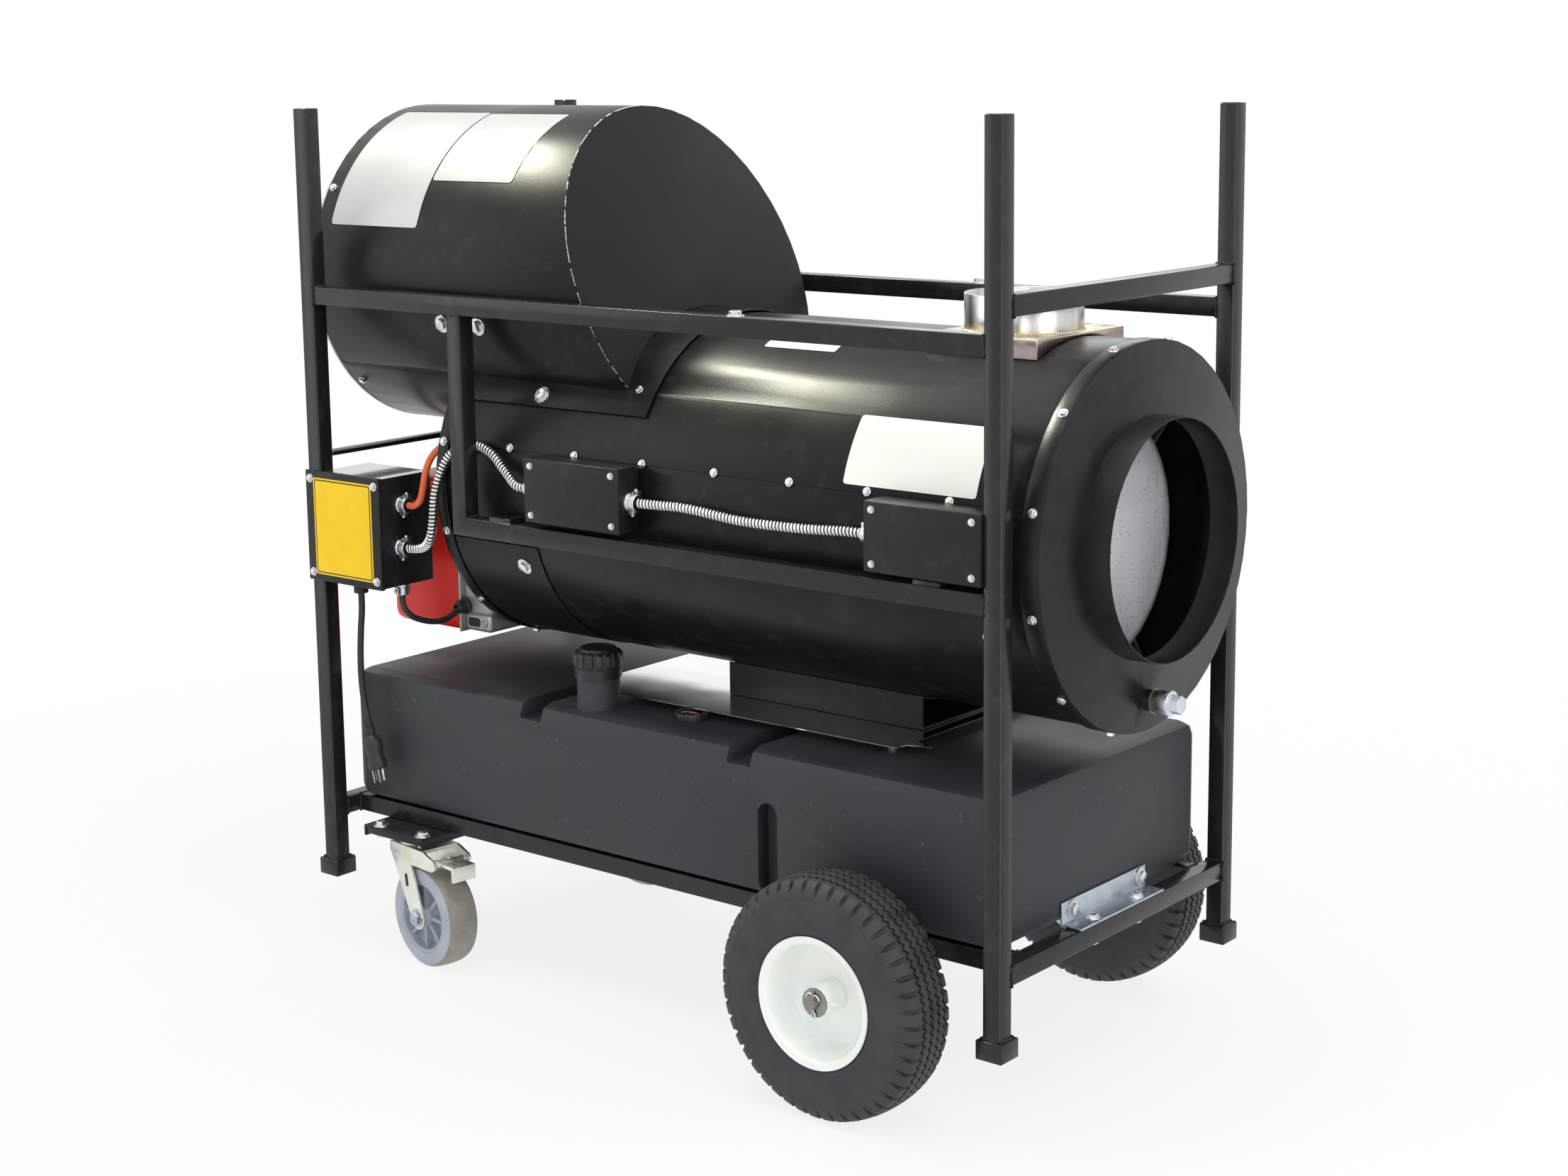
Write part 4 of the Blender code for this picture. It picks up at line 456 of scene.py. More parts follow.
bar = 0.0254
bm = bmesh.new()
for name in ("near_upper_rail", "far_upper_rail", "near_mid_rail", "far_mid_rail"):
    low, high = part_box(name)
    outer, inward = (low.y, 1) if low.y < 0 else (high.y, -1)
    inner = outer + inward * bar
    if "upper" in name:
        for x in (low.x, high.x):
            weld_ring(bm, (x, outer, high.z - bar), (x, inner, high.z), 0)
    else:
        top = low.z + bar
        weld_ring(bm, (high.x, outer, low.z), (high.x, inner, top), 0)
        weld_ring(bm, (low.x, outer, high.z), (low.x + bar, inner, high.z), 2)
        weld_run(bm, (low.x + bar, outer, top), (low.x + bar, inner, top), 0.0023)
low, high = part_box("upper_end_rail")
for y in (low.y, high.y):
    weld_ring(bm, (low.x, y, low.z), (high.x, y, high.z), 1)
low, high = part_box("base_frame")
base_low, seam_outer, seam_inner, stub_y = high.z - bar, 0.229, 0.2036, 0.2541
for x in (low.x + bar, high.x - bar):
    for side in (-1, 1):
        for z in (base_low, high.z):
            weld_run(bm, (x, side * seam_outer, z), (x, side * seam_inner, z), 0.0022)
        weld_run(bm, (x, side * seam_outer, base_low), (x, side * seam_outer, high.z), 0.0022)
for x in (low.x, high.x - bar):
    for side in (-1, 1):
        weld_ring(bm, (x, side * stub_y, base_low), (x + bar, side * stub_y, high.z), 1)
foot_top, foot_half, foot_step, spatter_count, spatter_reach = 0.1384, 0.019, 0.00635, 16, 0.0175
for name in posts:
    low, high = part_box(name)
    foot_x, toward_x = (low.x, 1) if low.x < 0 else (high.x, -1)
    foot_y, toward_y = (low.y, 1) if "near" in name else (high.y, -1)
    corner = Vector((foot_x + toward_x * foot_step, foot_y + toward_y * foot_step, foot_top))
    weld_ring(bm, corner, corner + Vector((toward_x * bar, toward_y * bar, 0)), 2, 0.0034)
    middle = Vector((foot_x + toward_x * foot_half, foot_y + toward_y * foot_half, foot_top))
    for number in range(spatter_count):
        chance = noise.noise_vector(Vector((number * 3.1, foot_x * 9, -toward_y * 5)))
        places = (math.copysign(0.0155, chance.x) + chance.z * 0.004, chance.y * 0.034)
        x, y = (max(-spatter_reach, min(spatter_reach, place)) for place in places)
        bead(bm, middle + Vector((x, y, 0.0002)), 0.0013 + 0.001 * abs(chance.z))
weld_paint = powder_coat("weld_paint", (0.016, 0.016, 0.017), (0.30, 0.5))
finished("frame_welds", bm, weld_paint, sharp=80)


# Swivel casters under the burner end: pressed and zinc-plated forks, a grey tread on a paler
# cast core with ribs, and a brake pedal.  Each top plate is bolted up through a black channel.
def hex_screw(bm, point, outward, size, washer=1.3, tall=0.55):
    """A hex head on its washer, standing on a point; size is its radius across the corners."""
    stand = stand_at(point, outward)
    thick = size * 0.16
    rows = (
        (24, washer, washer * 0.97, thick / 2, thick),
        (6, 1, 0.97, thick + size * tall / 2, size * tall),
        (6, 0.97, 0.78, thick + size * tall + size * 0.05, size * 0.1),
    )
    for sides, radius, tip, middle, depth in rows:
        peg(bm, stand @ Matrix.Translation((0, 0, middle)), sides, size * radius, size * tip, depth)


def plated(name, colour=(0.76, 0.78, 0.81), tint=(0.60, 0.62, 0.64), rough=(0.16, 0.40)):
    """Bright zinc plate with a cloudy sheen."""
    metal = Finish(name, (colour, tint), rough[0], (45, 3), (700, 2, 0.00003), metallic=1)
    return metal.feed("Roughness", metal.spread(metal.grain(160, 4), 0, 1, *rough))


zinc = plated("zinc_plate")
yellow_zinc = plated("yellow_zinc", (0.80, 0.81, 0.77), (0.72, 0.70, 0.60), (0.3, 0.5))
nut_zinc = plated("nut_zinc", (0.52, 0.55, 0.58), (0.36, 0.38, 0.40), (0.12, 0.30))
channel_paint = powder_coat("channel_paint", (0.014, 0.014, 0.015), (0.32, 0.5))
dressed("caster_channel_steel", "caster_channel", channel_paint, 0.0008)
caster_core = Finish(
    "caster_core", ((0.34, 0.38, 0.45), (0.43, 0.47, 0.53)), (0.35, 0.55), (35, 4), (260, 3, 0.0001)
)
caster_tread = Finish(
    "caster_tread", ((0.20, 0.19, 0.175), (0.31, 0.285, 0.25)), (0.5, 0.75), (55, 5), (500, 3, 0.00006)
)


def both_ways(half):
    """A profile from its upper half, mirrored below height 0."""
    return half + [(radius, -height) for radius, height in reversed(half) if height]


sides = ((-1, "near"), (1, "far"))
kingpin_x, caster_spread, caster_trail, caster_radius = -0.48535, 0.230, 0.0354, 0.0762
plate_bolts = ((0.265, 0.1931, -1, 1.3), (0.265, 0.2033, 1, 1.35), (0.196, 0.1931, -1, 1.3))
bm = bmesh.new()
for side in (-1, 1):
    for x in (-0.52935, -0.44135):
        for y, z, up, washer in plate_bolts:
            hex_screw(bm, (x, side * y, z), (0, 0, up), 0.0085, washer)
finished("caster_plate_bolts", bm, zinc)

core_profile = both_ways(mm(
    6.3, 0, 6.3, 28, 13.5, 28, 14.2, 27.2, 15, 12, 18, 9, 44.5, 9, 47.5, 12, 48.7, 23.8, 50.3, 24.8,
    53.5, 23.8, 54.3, 25, 69.5, 25, 71, 24,
))
tread_profile = both_ways(mm(68.5, 22.8, 71.2, 23.8, 73.5, 22, 75.2, 17.5, 76, 10, 76.2, 0))
spoke_count, spoke_size = 8, (0.035, 0.0035, 0.011)
for (side, name), swivel in zip(sides, (-9, 7)):
    stand = Matrix.Translation((kingpin_x, side * caster_spread, 0)) @ rotation(swivel)
    turn = stand.to_3x3()
    body = f"{name}_swivel"
    dressed(f"{name}_fork_steel", f"{name}_fork", yellow_zinc, 0.0008, 3, body=body)
    nuts, slots = bmesh.new(), bmesh.new()
    for leg in (-1, 1):
        outward = turn @ Vector((0, leg, 0))
        bolt_end = stand @ Vector((caster_trail, leg * 0.0389, caster_radius))
        peg(nuts, stand_at(bolt_end, outward), 18, 0.004, 0.0036, 0.006)
        nut = stand @ Vector((caster_trail, leg * 0.0325, caster_radius))
        hex_screw(nuts, nut, outward, 0.0108, 1.3, 0.5)
        slot_face = bmesh.ops.create_circle(slots, cap_ends=True, segments=28, radius=0.0034)["verts"]
        for vert in slot_face:
            vert.co.y += math.copysign(0.0064, vert.co.y)
        face = stand_at(stand @ Vector((0.0105, leg * 0.03275, 0.129)), outward)
        bmesh.ops.transform(slots, matrix=face @ rotation(leg * -9), verts=slot_face)
    finished(f"{name}_fork_nuts", nuts, nut_zinc, body)
    # The slots are flat dark discs laid on the legs' faces: painted shade standing for the openings.
    slot_painted_shade = Finish(
        f"{name}_fork_slot_dark", (0.02, 0.018, 0.015), 0.6, relief=(300, 3, 0.00005), metallic=0.4
    )
    finished(f"{name}_fork_slots", slots, slot_painted_shade, body=body)

    wheel = stand @ Matrix.Translation((caster_trail, 0, caster_radius)) @ rotation(-90, "X")
    bm = bmesh.new()
    turned(bm, core_profile, wheel, 96)
    for spoke in range(spoke_count):
        for face in (-1, 1):
            rib = block(bm, spoke_size)
            for vert in rib:
                if vert.co.x < 0:
                    vert.co.y *= 1.5
            lean = wheel @ Matrix.Rotation(math.tau * spoke / spoke_count, 4, "Z")
            bmesh.ops.transform(bm, matrix=lean @ Matrix.Translation((0.0305, 0, face * 0.0135)), verts=rib)
    finished(f"{name}_caster_core", bm, caster_core, f"{name}_caster", f"{name}_caster_wheel")
    bm = bmesh.new()
    turned(bm, tread_profile, wheel, 120)
    finished(f"{name}_caster_tyre", bm, caster_tread, f"{name}_caster", sharp=50)
    dressed(f"{name}_pedal_steel", f"{name}_brake_pedal", yellow_zinc, 0.0007, body=f"{name}_brake")


# Rear wheels: foam-filled industrial tyres with zig-zag grooves and notched shoulders on cream
# painted pressed rims, held on a plain steel axle by a washer and a split pin each.
tyre_rubber = Finish(
    "tyre_rubber", ((0.022, 0.0240, 0.028), (0.046, 0.050, 0.058)), (0.5, 0.78), (26, 4), (620, 3, 0.00006),
    specular=0.4,
)
rim_enamel = Finish(
    "rim_enamel", ((0.93, 0.97, 0.96), (0.90, 0.92, 0.86)), (0.20, 0.34), (24, 4), (320, 2, 0.00004), coat=0.35
)
wheel_x, wheel_y, wheel_radius = 0.34945, 0.3093, 0.1575
notch_start, shoulder_radius, tread_half = 0.1362, 0.1535, 0.0330
tyre_steps, notch_count, zigzag_count, zigzag_swing, notch_depth = 540, 45, 90, 0.0026, 0.0048


def crown(height):
    """Radius of the tread at a distance from its middle."""
    return wheel_radius - (wheel_radius - shoulder_radius) * (height / tread_half) ** 2


half_profile = mm(
    86.3, 41.3, 89, 43, 93.5, 44.1, 95.5, 43.8, 97.5, 44.3, 108, 44.9, 120, 45, 130.5, 44.6, 132.5, 43.7,
    134.5, 44.1, 138.5, 43, 142.5, 41.4, 146.2, 39.3, 149.5, 36.8, 152, 34.7,
)
groove = mm(-3, 0, -2.1, 0.3, -1.6, 4.6, 1.6, 4.6, 2.1, 0.3, 3, 0)
tyre_profile = [(radius, -height) for radius, height in half_profile] + [(crown(tread_half), -tread_half)]
for place in (-0.0205, -0.0070, 0.0070, 0.0205):
    tyre_profile += [(crown(place + offset) - drop, place + offset) for offset, drop in groove]
tyre_profile += [(crown(tread_half), tread_half)] + half_profile[::-1]
rim_profile = mm(
    8.3, -36, 8.3, 36, 18, 36, 18.7, 35.3, 18.9, 34, 18.9, 0, 20.5, -2.2, 23, -3, 38, -4, 52, -5, 58.5, -4,
    63.5, -1, 67, 3.5, 70, 11, 72.2, 20.5, 73.8, 30, 74.5, 37, 75.5, 40.5, 77.5, 42.5, 81, 43.2, 83.5, 43.7,
    84.9, 44.6, 85.7, 43.6, 85.8, 42.4, 84.5, 41.3, 79.5, 40.8, 78.5, -40.8, 84.5, -41.3, 85.7, -43,
    84.9, -44.6, 79, -43, 74.5, -40, 74, -12, 69, -9, 60, -8, 23, -7, 18.9, -10, 18.9, -36, 8.3, -36,
)
nipple_profile = mm(0, 0, 3.5, 0, 3.5, 3, 2, 4, 2.6, 6.2, 1, 8, 0, 8)
hub_weld_count, hub_weld_radius, hub_weld_z = 40, 0.0192, -0.0005
for side, name in sides:
    bm = bmesh.new()
    for vert in turned(bm, tyre_profile, steps=tyre_steps):
        radius = math.hypot(vert.co.x, vert.co.y)
        angle = math.atan2(vert.co.y, vert.co.x) / math.tau
        height = vert.co.z
        if abs(height) < 0.028 and radius > 0.148:
            vert.co.z += zigzag_swing * (abs((angle * zigzag_count) % 1 - 0.5) * 4 - 1)
        elif radius > notch_start:
            share = min(1, (radius - notch_start) / (shoulder_radius - notch_start))
            shift = 0.5 if height > 0 else 0
            place = abs((angle * notch_count + shift) % 1 - 0.5) * 2
            width = 0.12 + 0.20 * share
            if place < width:
                drop = notch_depth * min(1, (width - place) * 14) * min(1, share * 2.2)
                vert.co.x *= (radius - drop * 0.75) / radius
                vert.co.y *= (radius - drop * 0.75) / radius
                vert.co.z -= math.copysign(drop * 0.65, height)
    stand = stand_at((wheel_x, side * wheel_y, wheel_radius), (0, side, 0))
    bmesh.ops.transform(bm, matrix=stand, verts=bm.verts)
    finished(f"{name}_tyre_rubber", bm, tyre_rubber, f"{name}_wheel", f"{name}_tyre", 40)

    bm = bmesh.new()
    turned(bm, rim_profile, stand, 128)
    turned(bm, nipple_profile, stand @ Matrix.Translation((0.0187, 0, 0.027)) @ rotation(90, "Y"), 16)
    for number in range(hub_weld_count):
        angle = math.tau * number / hub_weld_count
        spot = (hub_weld_radius * math.cos(angle), hub_weld_radius * math.sin(angle), hub_weld_z)
        bead(bm, spot, 0.0021, stand)
    finished(f"{name}_rim_steel", bm, rim_enamel, f"{name}_wheel", f"{name}_rim", 50)

axle_steel = plated("axle_steel", (0.34, 0.33, 0.32), (0.22, 0.20, 0.18), (0.28, 0.5))
dressed("rear_axle_steel", "rear_axle", axle_steel, 0.0005)
pin_legs = (
    mm(
        0.4, -11, 2.6, -14.5, 1.8, -18, -0.6, -18.8, -2.8, -16.5,
        -0.6, -12, -0.8, 8, -3.6, 11.8, -8, 11.2, -11.2, 7,
    ),
    mm(0.6, -11, 0.8, 8, 3.6, 11.2, 7.8, 10, 10.4, 5.6),
)
for side, name in sides:
    for number, leg in enumerate(pin_legs):
        y = side * (0.3503 + 0.0011 * number)
        points = route_through([Vector((wheel_x + x, y, wheel_radius + z)) for x, z in leg], 0.0012)
        tube(f"{name}_split_pin_{number + 1}", points, 0.0012, zinc)


# Fuel tank: rotomoulded polyethylene, blue-black and matt, with strap channels over the top.
# Its screw cap has grip ribs; beside it a float gauge lies under a clear dome.
tank_blue, tank_haze = (0.019, 0.022, 0.029), (0.028, 0.032, 0.041)
tank_skin = Finish("tank_skin", tank_blue, (0.48, 0.66), (5, 5), (330, 3, 0.00012), specular=0.44)
rub = tank_skin.spread(tank_skin.grain(70, 6), 0.94, 1, 0, 0.25)
tank_side, tank_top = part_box("fuel_tank")[0].y, 0.4278
brow = tank_skin.spread(tank_skin.axis("Z"), tank_top - 0.0036, tank_top - 0.0020)
brow = brow * tank_skin.spread(tank_skin.axis("Y"), tank_side + 0.0018, tank_side + 0.0032, 1, 0)
brow = brow * tank_skin.spread(tank_skin.grain(22, 5), 0.3, 0.8, 0.25, 0.8)
tone = tank_skin.mix(tank_skin.grain(5, 5), tank_blue, tank_haze)
tank_skin.feed("Base Color", tank_skin.mix(rub + brow, tone, (0.12, 0.125, 0.13)))
dressed("fuel_tank_shell", "fuel_tank", tank_skin, 0.0022, 3, 40, sharp=50)

cap_plastic = Finish(
    "cap_plastic", (0.016, 0.016, 0.018), (0.3, 0.46), (80, 3), (900, 2, 0.00003), specular=0.45
)
neck_x, neck_y, cap_low, cap_radius = -0.15135, -0.192, 0.4706, 0.0348
cap_ribs, valley_share, valley_depth = 16, 0.42, 0.0026
profile = mm(
    26.8, 0, 32.5, 0, 32.8, 1.5, 32.8, 10, 33.5, 11.5, 33.5, 13.5, 32, 15, 32, 16.5, 34.8, 18.5, 34.8, 31,
    34, 33.5, 31.3, 36, 26.5, 37.6, 25.5, 40, 23.5, 41.4, 21.5, 41.8, 19.5, 41.2, 18.5, 40, 10, 39.6, 0, 39.6,
)
bm = bmesh.new()
for vert in turned(bm, profile, steps=224):
    radius = math.hypot(vert.co.x, vert.co.y)
    place = abs((math.atan2(vert.co.y, vert.co.x) / math.tau * cap_ribs) % 1 - 0.5) * 2
    if radius > cap_radius - 0.004 and vert.co.z > 0.017 and place < valley_share:
        pull = valley_depth * min(1, (valley_share - place) * 6)
        vert.co.x *= (radius - pull) / radius
        vert.co.y *= (radius - pull) / radius
bmesh.ops.translate(bm, vec=(neck_x, neck_y, cap_low), verts=bm.verts)
finished("filler_cap_moulding", bm, cap_plastic, "cap", "filler_cap")
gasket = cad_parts["cap_gasket"].data
gasket.materials.clear()
gasket.materials.append(black_rubber.material)

gauge_stand = Matrix.Translation((-0.00235, -0.168, 0.4275))
grip_count, dial_marks = 24, (-60, -30, 0, 30, 60)
bm = bmesh.new()
profile = mm(
    0, 0, 22.4, 0, 22.4, 8.9, 21.6, 10.2, 20.5, 10.4, 19, 9.6, 18.4, 8.3, 18.4, 5, 1, 5, 1, 7.1, 0, 7.1
)
turned(bm, profile, gauge_stand, 96)
for number in range(grip_count):
    turn = Matrix.Rotation(math.tau * number / grip_count, 4, "Z")
    block(bm, (0.0008, 0.0024, 0.0062), (0.0222, 0, 0.0045), gauge_stand @ turn)
finished("gauge_bezel", bm, cap_plastic, replaced="fuel_gauge")
dial_white = Finish("dial_white", ((0.70, 0.70, 0.68), (0.80, 0.80, 0.78)), 0.5, (200,))
bm = bmesh.new()
for degrees in dial_marks:
    block(bm, (0.0028, 0.0008, 0.0002), (0.0155, 0, 0.0051), gauge_stand @ rotation(degrees))
finished("gauge_marks", bm, dial_white)
pointer_red = Finish("pointer_red", (0.85, 0.03, 0.025), (0.28, 0.45), (150,))
dressed("gauge_hand", "gauge_pointer", pointer_red, 0.0002, 1, body="pointer")
glass = Finish("gauge_glass", (1, 1, 1), (0.02, 0.1), (60,))
glass.fix({"Transmission Weight": 1, "IOR": 1.12})
bm = bmesh.new()
turned(bm, mm(0, 9.6, 6, 9.5, 12, 9.1, 16.5, 8.4, 18.3, 7.7), gauge_stand, 64)
finished("gauge_dome", bm, glass)


# Zinc angle that holds the tank to the outlet rail, with its bolts, washers and nuts.
angle_zinc = plated("angle_zinc", (0.50, 0.56, 0.61), (0.40, 0.44, 0.48), (0.26, 0.46))
dressed("tank_bracket_angle", "tank_bracket", angle_zinc, 0.0008)
bm = bmesh.new()
for y in (-0.077, 0.086):
    hex_screw(bm, (0.5519, y, 0.2475), (1, 0, 0), 0.0085, 1.45)
for y in (-0.052, 0.052):
    hex_screw(bm, (0.5670, y, 0.2322), (0, 0, 1), 0.0075)
    hex_screw(bm, (0.5670, y, 0.2035), (0, 0, -1), 0.0075)
finished("bracket_bolts", bm, zinc)


# Heat shield: bright rolled sheet on four short feet over the tank, with a folded tongue, and
# the black saddle that carries the drum.
mirror_sheet = Finish(
    "mirror_sheet", ((0.99, 0.99, 1.00), (0.90, 0.91, 0.95)), (0.05, 0.20), (9, 5, (0.2, 1, 1)), (4, 2, 0.0012),
    metallic=1,
)
finished("heat_shield_sheet", cad_copy("heat_shield"), mirror_sheet, replaced="heat_shield")
saddle_paint = powder_coat("saddle_paint", (0.010, 0.010, 0.011), (0.35, 0.5))
dressed("drum_saddle_steel", "drum_saddle", saddle_paint, 0.0008)


# Drum casing: two rolled sheets of black painted steel lapped low on each side, a flanged end
# ring with the duct collar, a rear plate, and a saddle-shaped cover under the fan housing.
drum_z, drum_radius, lower_radius, lip_radius, cover_radius = 0.7196, 0.245, 0.2431, 0.2469, 0.2488
ring_face, collar_end = 0.62225, 0.66095
drum_black = (0.0080, 0.0080, 0.0086)
drum_paint = powder_coat("drum_paint", drum_black, (0.26, 0.36), 0.19)
ring_paint = powder_coat("ring_paint", drum_black, (0.26, 0.36), 0.22)
# The lip of the end ring and the free end of the duct collar are painted as thin pale grey lines, broken up by
# a cloud pattern: a painted highlight along those edges.
along = ring_paint.axis("X")
reach = ring_paint.axis("Y") ** 2 + (ring_paint.axis("Z") - drum_z) ** 2
lip_painted_highlight = ring_paint.spread(reach, (lip_radius - 0.0016) ** 2, (lip_radius - 0.0010) ** 2)
lip_painted_highlight = lip_painted_highlight * ring_paint.spread(along, ring_face - 0.0014, ring_face - 0.0008)
collar_painted_highlight = ring_paint.spread(along, collar_end - 0.0013, collar_end - 0.0008)
highlight_breakup = ring_paint.spread(ring_paint.grain(34, 5), 0.25, 0.75, 0.15, 0.9)
coated = ring_paint.mix(ring_paint.grain(38, 5), drum_black, (0.014, 0.014, 0.015))
marked_tone = ring_paint.mix((lip_painted_highlight + collar_painted_highlight) * highlight_breakup, coated, (0.30, 0.31, 0.34))
ring_paint.feed("Base Color", marked_tone)
for name in ("casing_top", "casing_bottom", "rear_plate", "saddle_cover", "front_ring"):
    paint = ring_paint if name == "front_ring" else drum_paint
    dressed(f"{name}_sheet", name, paint, 0.0005, 2, 50, sharp=30)
nipple_iron = plated("nipple_iron", (0.30, 0.29, 0.28), (0.20, 0.19, 0.18), (0.35, 0.6))
profile = mm(9.5, 19.8, 13.8, 19.8, 14.4, 19.2, 14.4, 0.4, 16, 0.1)
bm = bmesh.new()
turned(bm, profile, stand_at((ring_face, 0, 0.5126), (1, 0, 0)), 40)
finished("drain_nipple_skin", bm, nipple_iron)


def on_barrel(x, angle, radius, axis_z=drum_z):
    """A point of a barrel and its outward direction; 0 degrees faces near, 90 faces up."""
    turn = math.radians(angle)
    outward = Vector((0, -math.cos(turn), math.sin(turn)))
    return Vector((x, 0, axis_z)) + outward * radius, outward


bm = bmesh.new()
for step in range(12):
    for x in (0.59665, -0.39535):
        hex_screw(bm, *on_barrel(x, 15 + 30 * step, lip_radius), 0.0052, 1.25)
for x in (-0.26635, -0.14435, -0.02135, 0.10365, 0.22865, 0.35165, 0.47565):
    for angle in (15.5, 164.5):
        hex_screw(bm, *on_barrel(x, angle, drum_radius), 0.0050, 1.2)
for x, angle, radius, size, washer in (
    (-0.25735, -24.6, lower_radius + 0.0016, 0.0082, 1.5), (0.52165, -23.6, lower_radius, 0.0050, 1.2),
    (-0.23035, 33.8, cover_radius, 0.0085, 1.5), (-0.06135, 39, cover_radius, 0.0050, 1.2),
    (-0.25735, 204.6, lower_radius + 0.0016, 0.0082, 1.5), (-0.23035, 146.2, cover_radius, 0.0085, 1.5),
):
    hex_screw(bm, *on_barrel(x, angle, radius), size, washer)
finished("casing_screws", bm, zinc)


def bent_plate(bm, axis_z, radius, low_x, high_x, low_angle, high_angle, thickness=0.0004, corner=0.004):
    """A thin plate with round corners, rolled onto a cylinder that lies along X."""
    width = high_x - low_x
    arc = math.radians(high_angle - low_angle) * radius
    before = set(bm.faces)
    plate = bmesh.ops.create_grid(bm, x_segments=48, y_segments=48, size=0.5)["verts"]
    faces = [face for face in bm.faces if face not in before]
    for vert in plate:
        x, y = vert.co.x * width, vert.co.y * arc
        over = Vector((abs(x) - width / 2 + corner, abs(y) - arc / 2 + corner))
        if over.x > 0 and over.y > 0 and over.length > corner:
            over *= 1 - corner / over.length
            x -= math.copysign(over.x, x)
            y -= math.copysign(over.y, y)
        turn = math.radians(low_angle + high_angle) / 2 + y / radius
        vert.co = Vector(((low_x + high_x) / 2 + x, -math.cos(turn) * radius, axis_z + math.sin(turn) * radius))
    raised = bmesh.ops.extrude_face_region(bm, geom=faces, use_keep_orig=True)["geom"]
    for vert in (v for v in raised if isinstance(v, bmesh.types.BMVert)):
        vert.co += Vector((0, vert.co.y, vert.co.z - axis_z)).normalized() * thickness
    bmesh.ops.recalc_face_normals(bm, faces=bm.faces)


bm = bmesh.new()
bent_plate(bm, drum_z, lower_radius + 0.0001, -0.3845, -0.2224, -84, -17, 0.0012, 0.002)
finished("lower_patch_sheet", bm, drum_paint)


def plate_film(name, fresh, faded):
    """A bare plastic plate: pale film, unevenly faded, with a soft gloss."""
    return Finish(name, (fresh, faded), (0.26, 0.40), (12, 4), (90, 3, 0.00005), coat=0.2)


drum_film = plate_film("drum_film", (0.97, 0.97, 0.92), (0.93, 0.93, 0.86))
bm = bmesh.new()
bent_plate(bm, drum_z, drum_radius + 0.0001, 0.3127, 0.5127, 17, 38.5)
bent_plate(bm, drum_z, drum_radius + 0.0001, 0.0901, 0.2081, 62.1, 67.5, corner=0.003)
finished("drum_plates", bm, drum_film)


# Heat exchanger inside the drum: bare rolled steel, seen through the outlet, with its exhaust
# box and stub of stainless sheet on top, heat-tinted round the welds, and the drain plug.
exchanger_z, exchanger_radius = 0.7092, 0.165
pale_steel, dull_steel = (0.82, 0.81, 0.88), (0.60, 0.58, 0.64)
bare_steel = Finish("bare_steel", pale_steel, (0.34, 0.52), (9, 5), (120, 3, 0.00004), metallic=0.25)
pits = bare_steel.spread(bare_steel.grain(240, 2), 0.90, 1, 0, 0.7)
scores = bare_steel.spread(bare_steel.grain(34, 4, (1, 5, 0.3)), 0.84, 1, 0, 0.4)
clean = bare_steel.mix(bare_steel.grain(9, 5), pale_steel, dull_steel)
marked_tone = bare_steel.mix(pits, bare_steel.mix(scores, clean, (0.24, 0.22, 0.22)), (0.10, 0.09, 0.09))
# Towards the rim of the front disc the steel is painted darker and browner.
from_axis = bare_steel.axis("Y") ** 2 + (bare_steel.axis("Z") - exchanger_z) ** 2
rim_darkening = bare_steel.spread(from_axis, (exchanger_radius - 0.010) ** 2, (exchanger_radius - 0.002) ** 2, 0, 0.8)
bare_steel.feed("Base Color", bare_steel.mix(rim_darkening, marked_tone, (0.20, 0.11, 0.085)))
dressed("heat_exchanger_shell", "heat_exchanger", bare_steel, 0.0008, 2, 40)

tinted = Finish(
    "tinted_stainless", (0.60, 0.58, 0.54), (0.18, 0.42), (60, 5, (1, 1, 0.15)), (260, 3, (1, 1, 0.2), 0.00005),
    metallic=1,
)
heat = tinted.spread(tinted.axis("Z") + tinted.grain(18, 4) * 0.010, 0.966, 0.990, 1, 0)
straw = tinted.mix(tinted.spread(heat, 0, 0.6), (0.66, 0.65, 0.64), (0.60, 0.53, 0.40))
tinted.feed("Base Color", tinted.mix(tinted.spread(heat, 0.72, 1), straw, (0.38, 0.31, 0.30)))
stub_x, box_top, stub_radius, stub_weld_count = 0.42365, 0.9689, 0.076, 130
bm = cad_copy("exhaust_outlet")
bmesh.ops.delete(bm, geom=[v for v in bm.verts if v.co.z > box_top + 0.001], context="VERTS")
round_edges(bm, 0.0012, 2, 50)
profile = mm(76, 967.4, 76, 1015.1, 75.7, 1015.6, 74.3, 1015.6, 74, 1015.1, 74, 946.4)
turned(bm, profile, Matrix.Translation((stub_x, 0, 0)), 128)
for number in range(stub_weld_count):
    angle = math.tau * number / stub_weld_count
    reach = stub_radius + 0.0006 + 0.0004 * noise.noise(Vector((number * 0.7, 3, 0)))
    bead(bm, (stub_x + reach * math.cos(angle), reach * math.sin(angle), box_top), 0.0022)
finished("exhaust_outlet_sheet", bm, tinted, replaced="exhaust_outlet", sharp=45)
galvanised = plated("galvanised_plug", (0.74, 0.76, 0.80), (0.58, 0.61, 0.66), (0.25, 0.5))
dressed("drain_plug_iron", "drain_plug", galvanised, 0.0008, 2, 40)


# Fan housing: a rolled barrel cut on a slant and closed with a matt plate that is tacked on
# by welds, a wire guard at the inlet, and the motor and blades inside.
housing_z, housing_radius = 1.0102, 0.236
matte_plate = Finish(
    "matte_plate", ((0.010, 0.0105, 0.0115), (0.0145, 0.015, 0.0165)), (0.52, 0.68), (5, 4), (380, 2, 0.00005),
    specular=0.17,
)
housing_paint = powder_coat("housing_paint", (0.0085, 0.0085, 0.0092), (0.26, 0.36), 0.19)
for name in ("fan_housing", "inlet_pan"):
    dressed(f"{name}_sheet", name, housing_paint, 0.0005, 2, 50, sharp=30)
dressed("slant_plate_sheet", "slant_plate", matte_plate, 0.0005, 2, 50, sharp=30)


def slant_x(z):
    """World X of the housing's slanted edge at a height."""
    return 0.25475 - 0.3845 * z


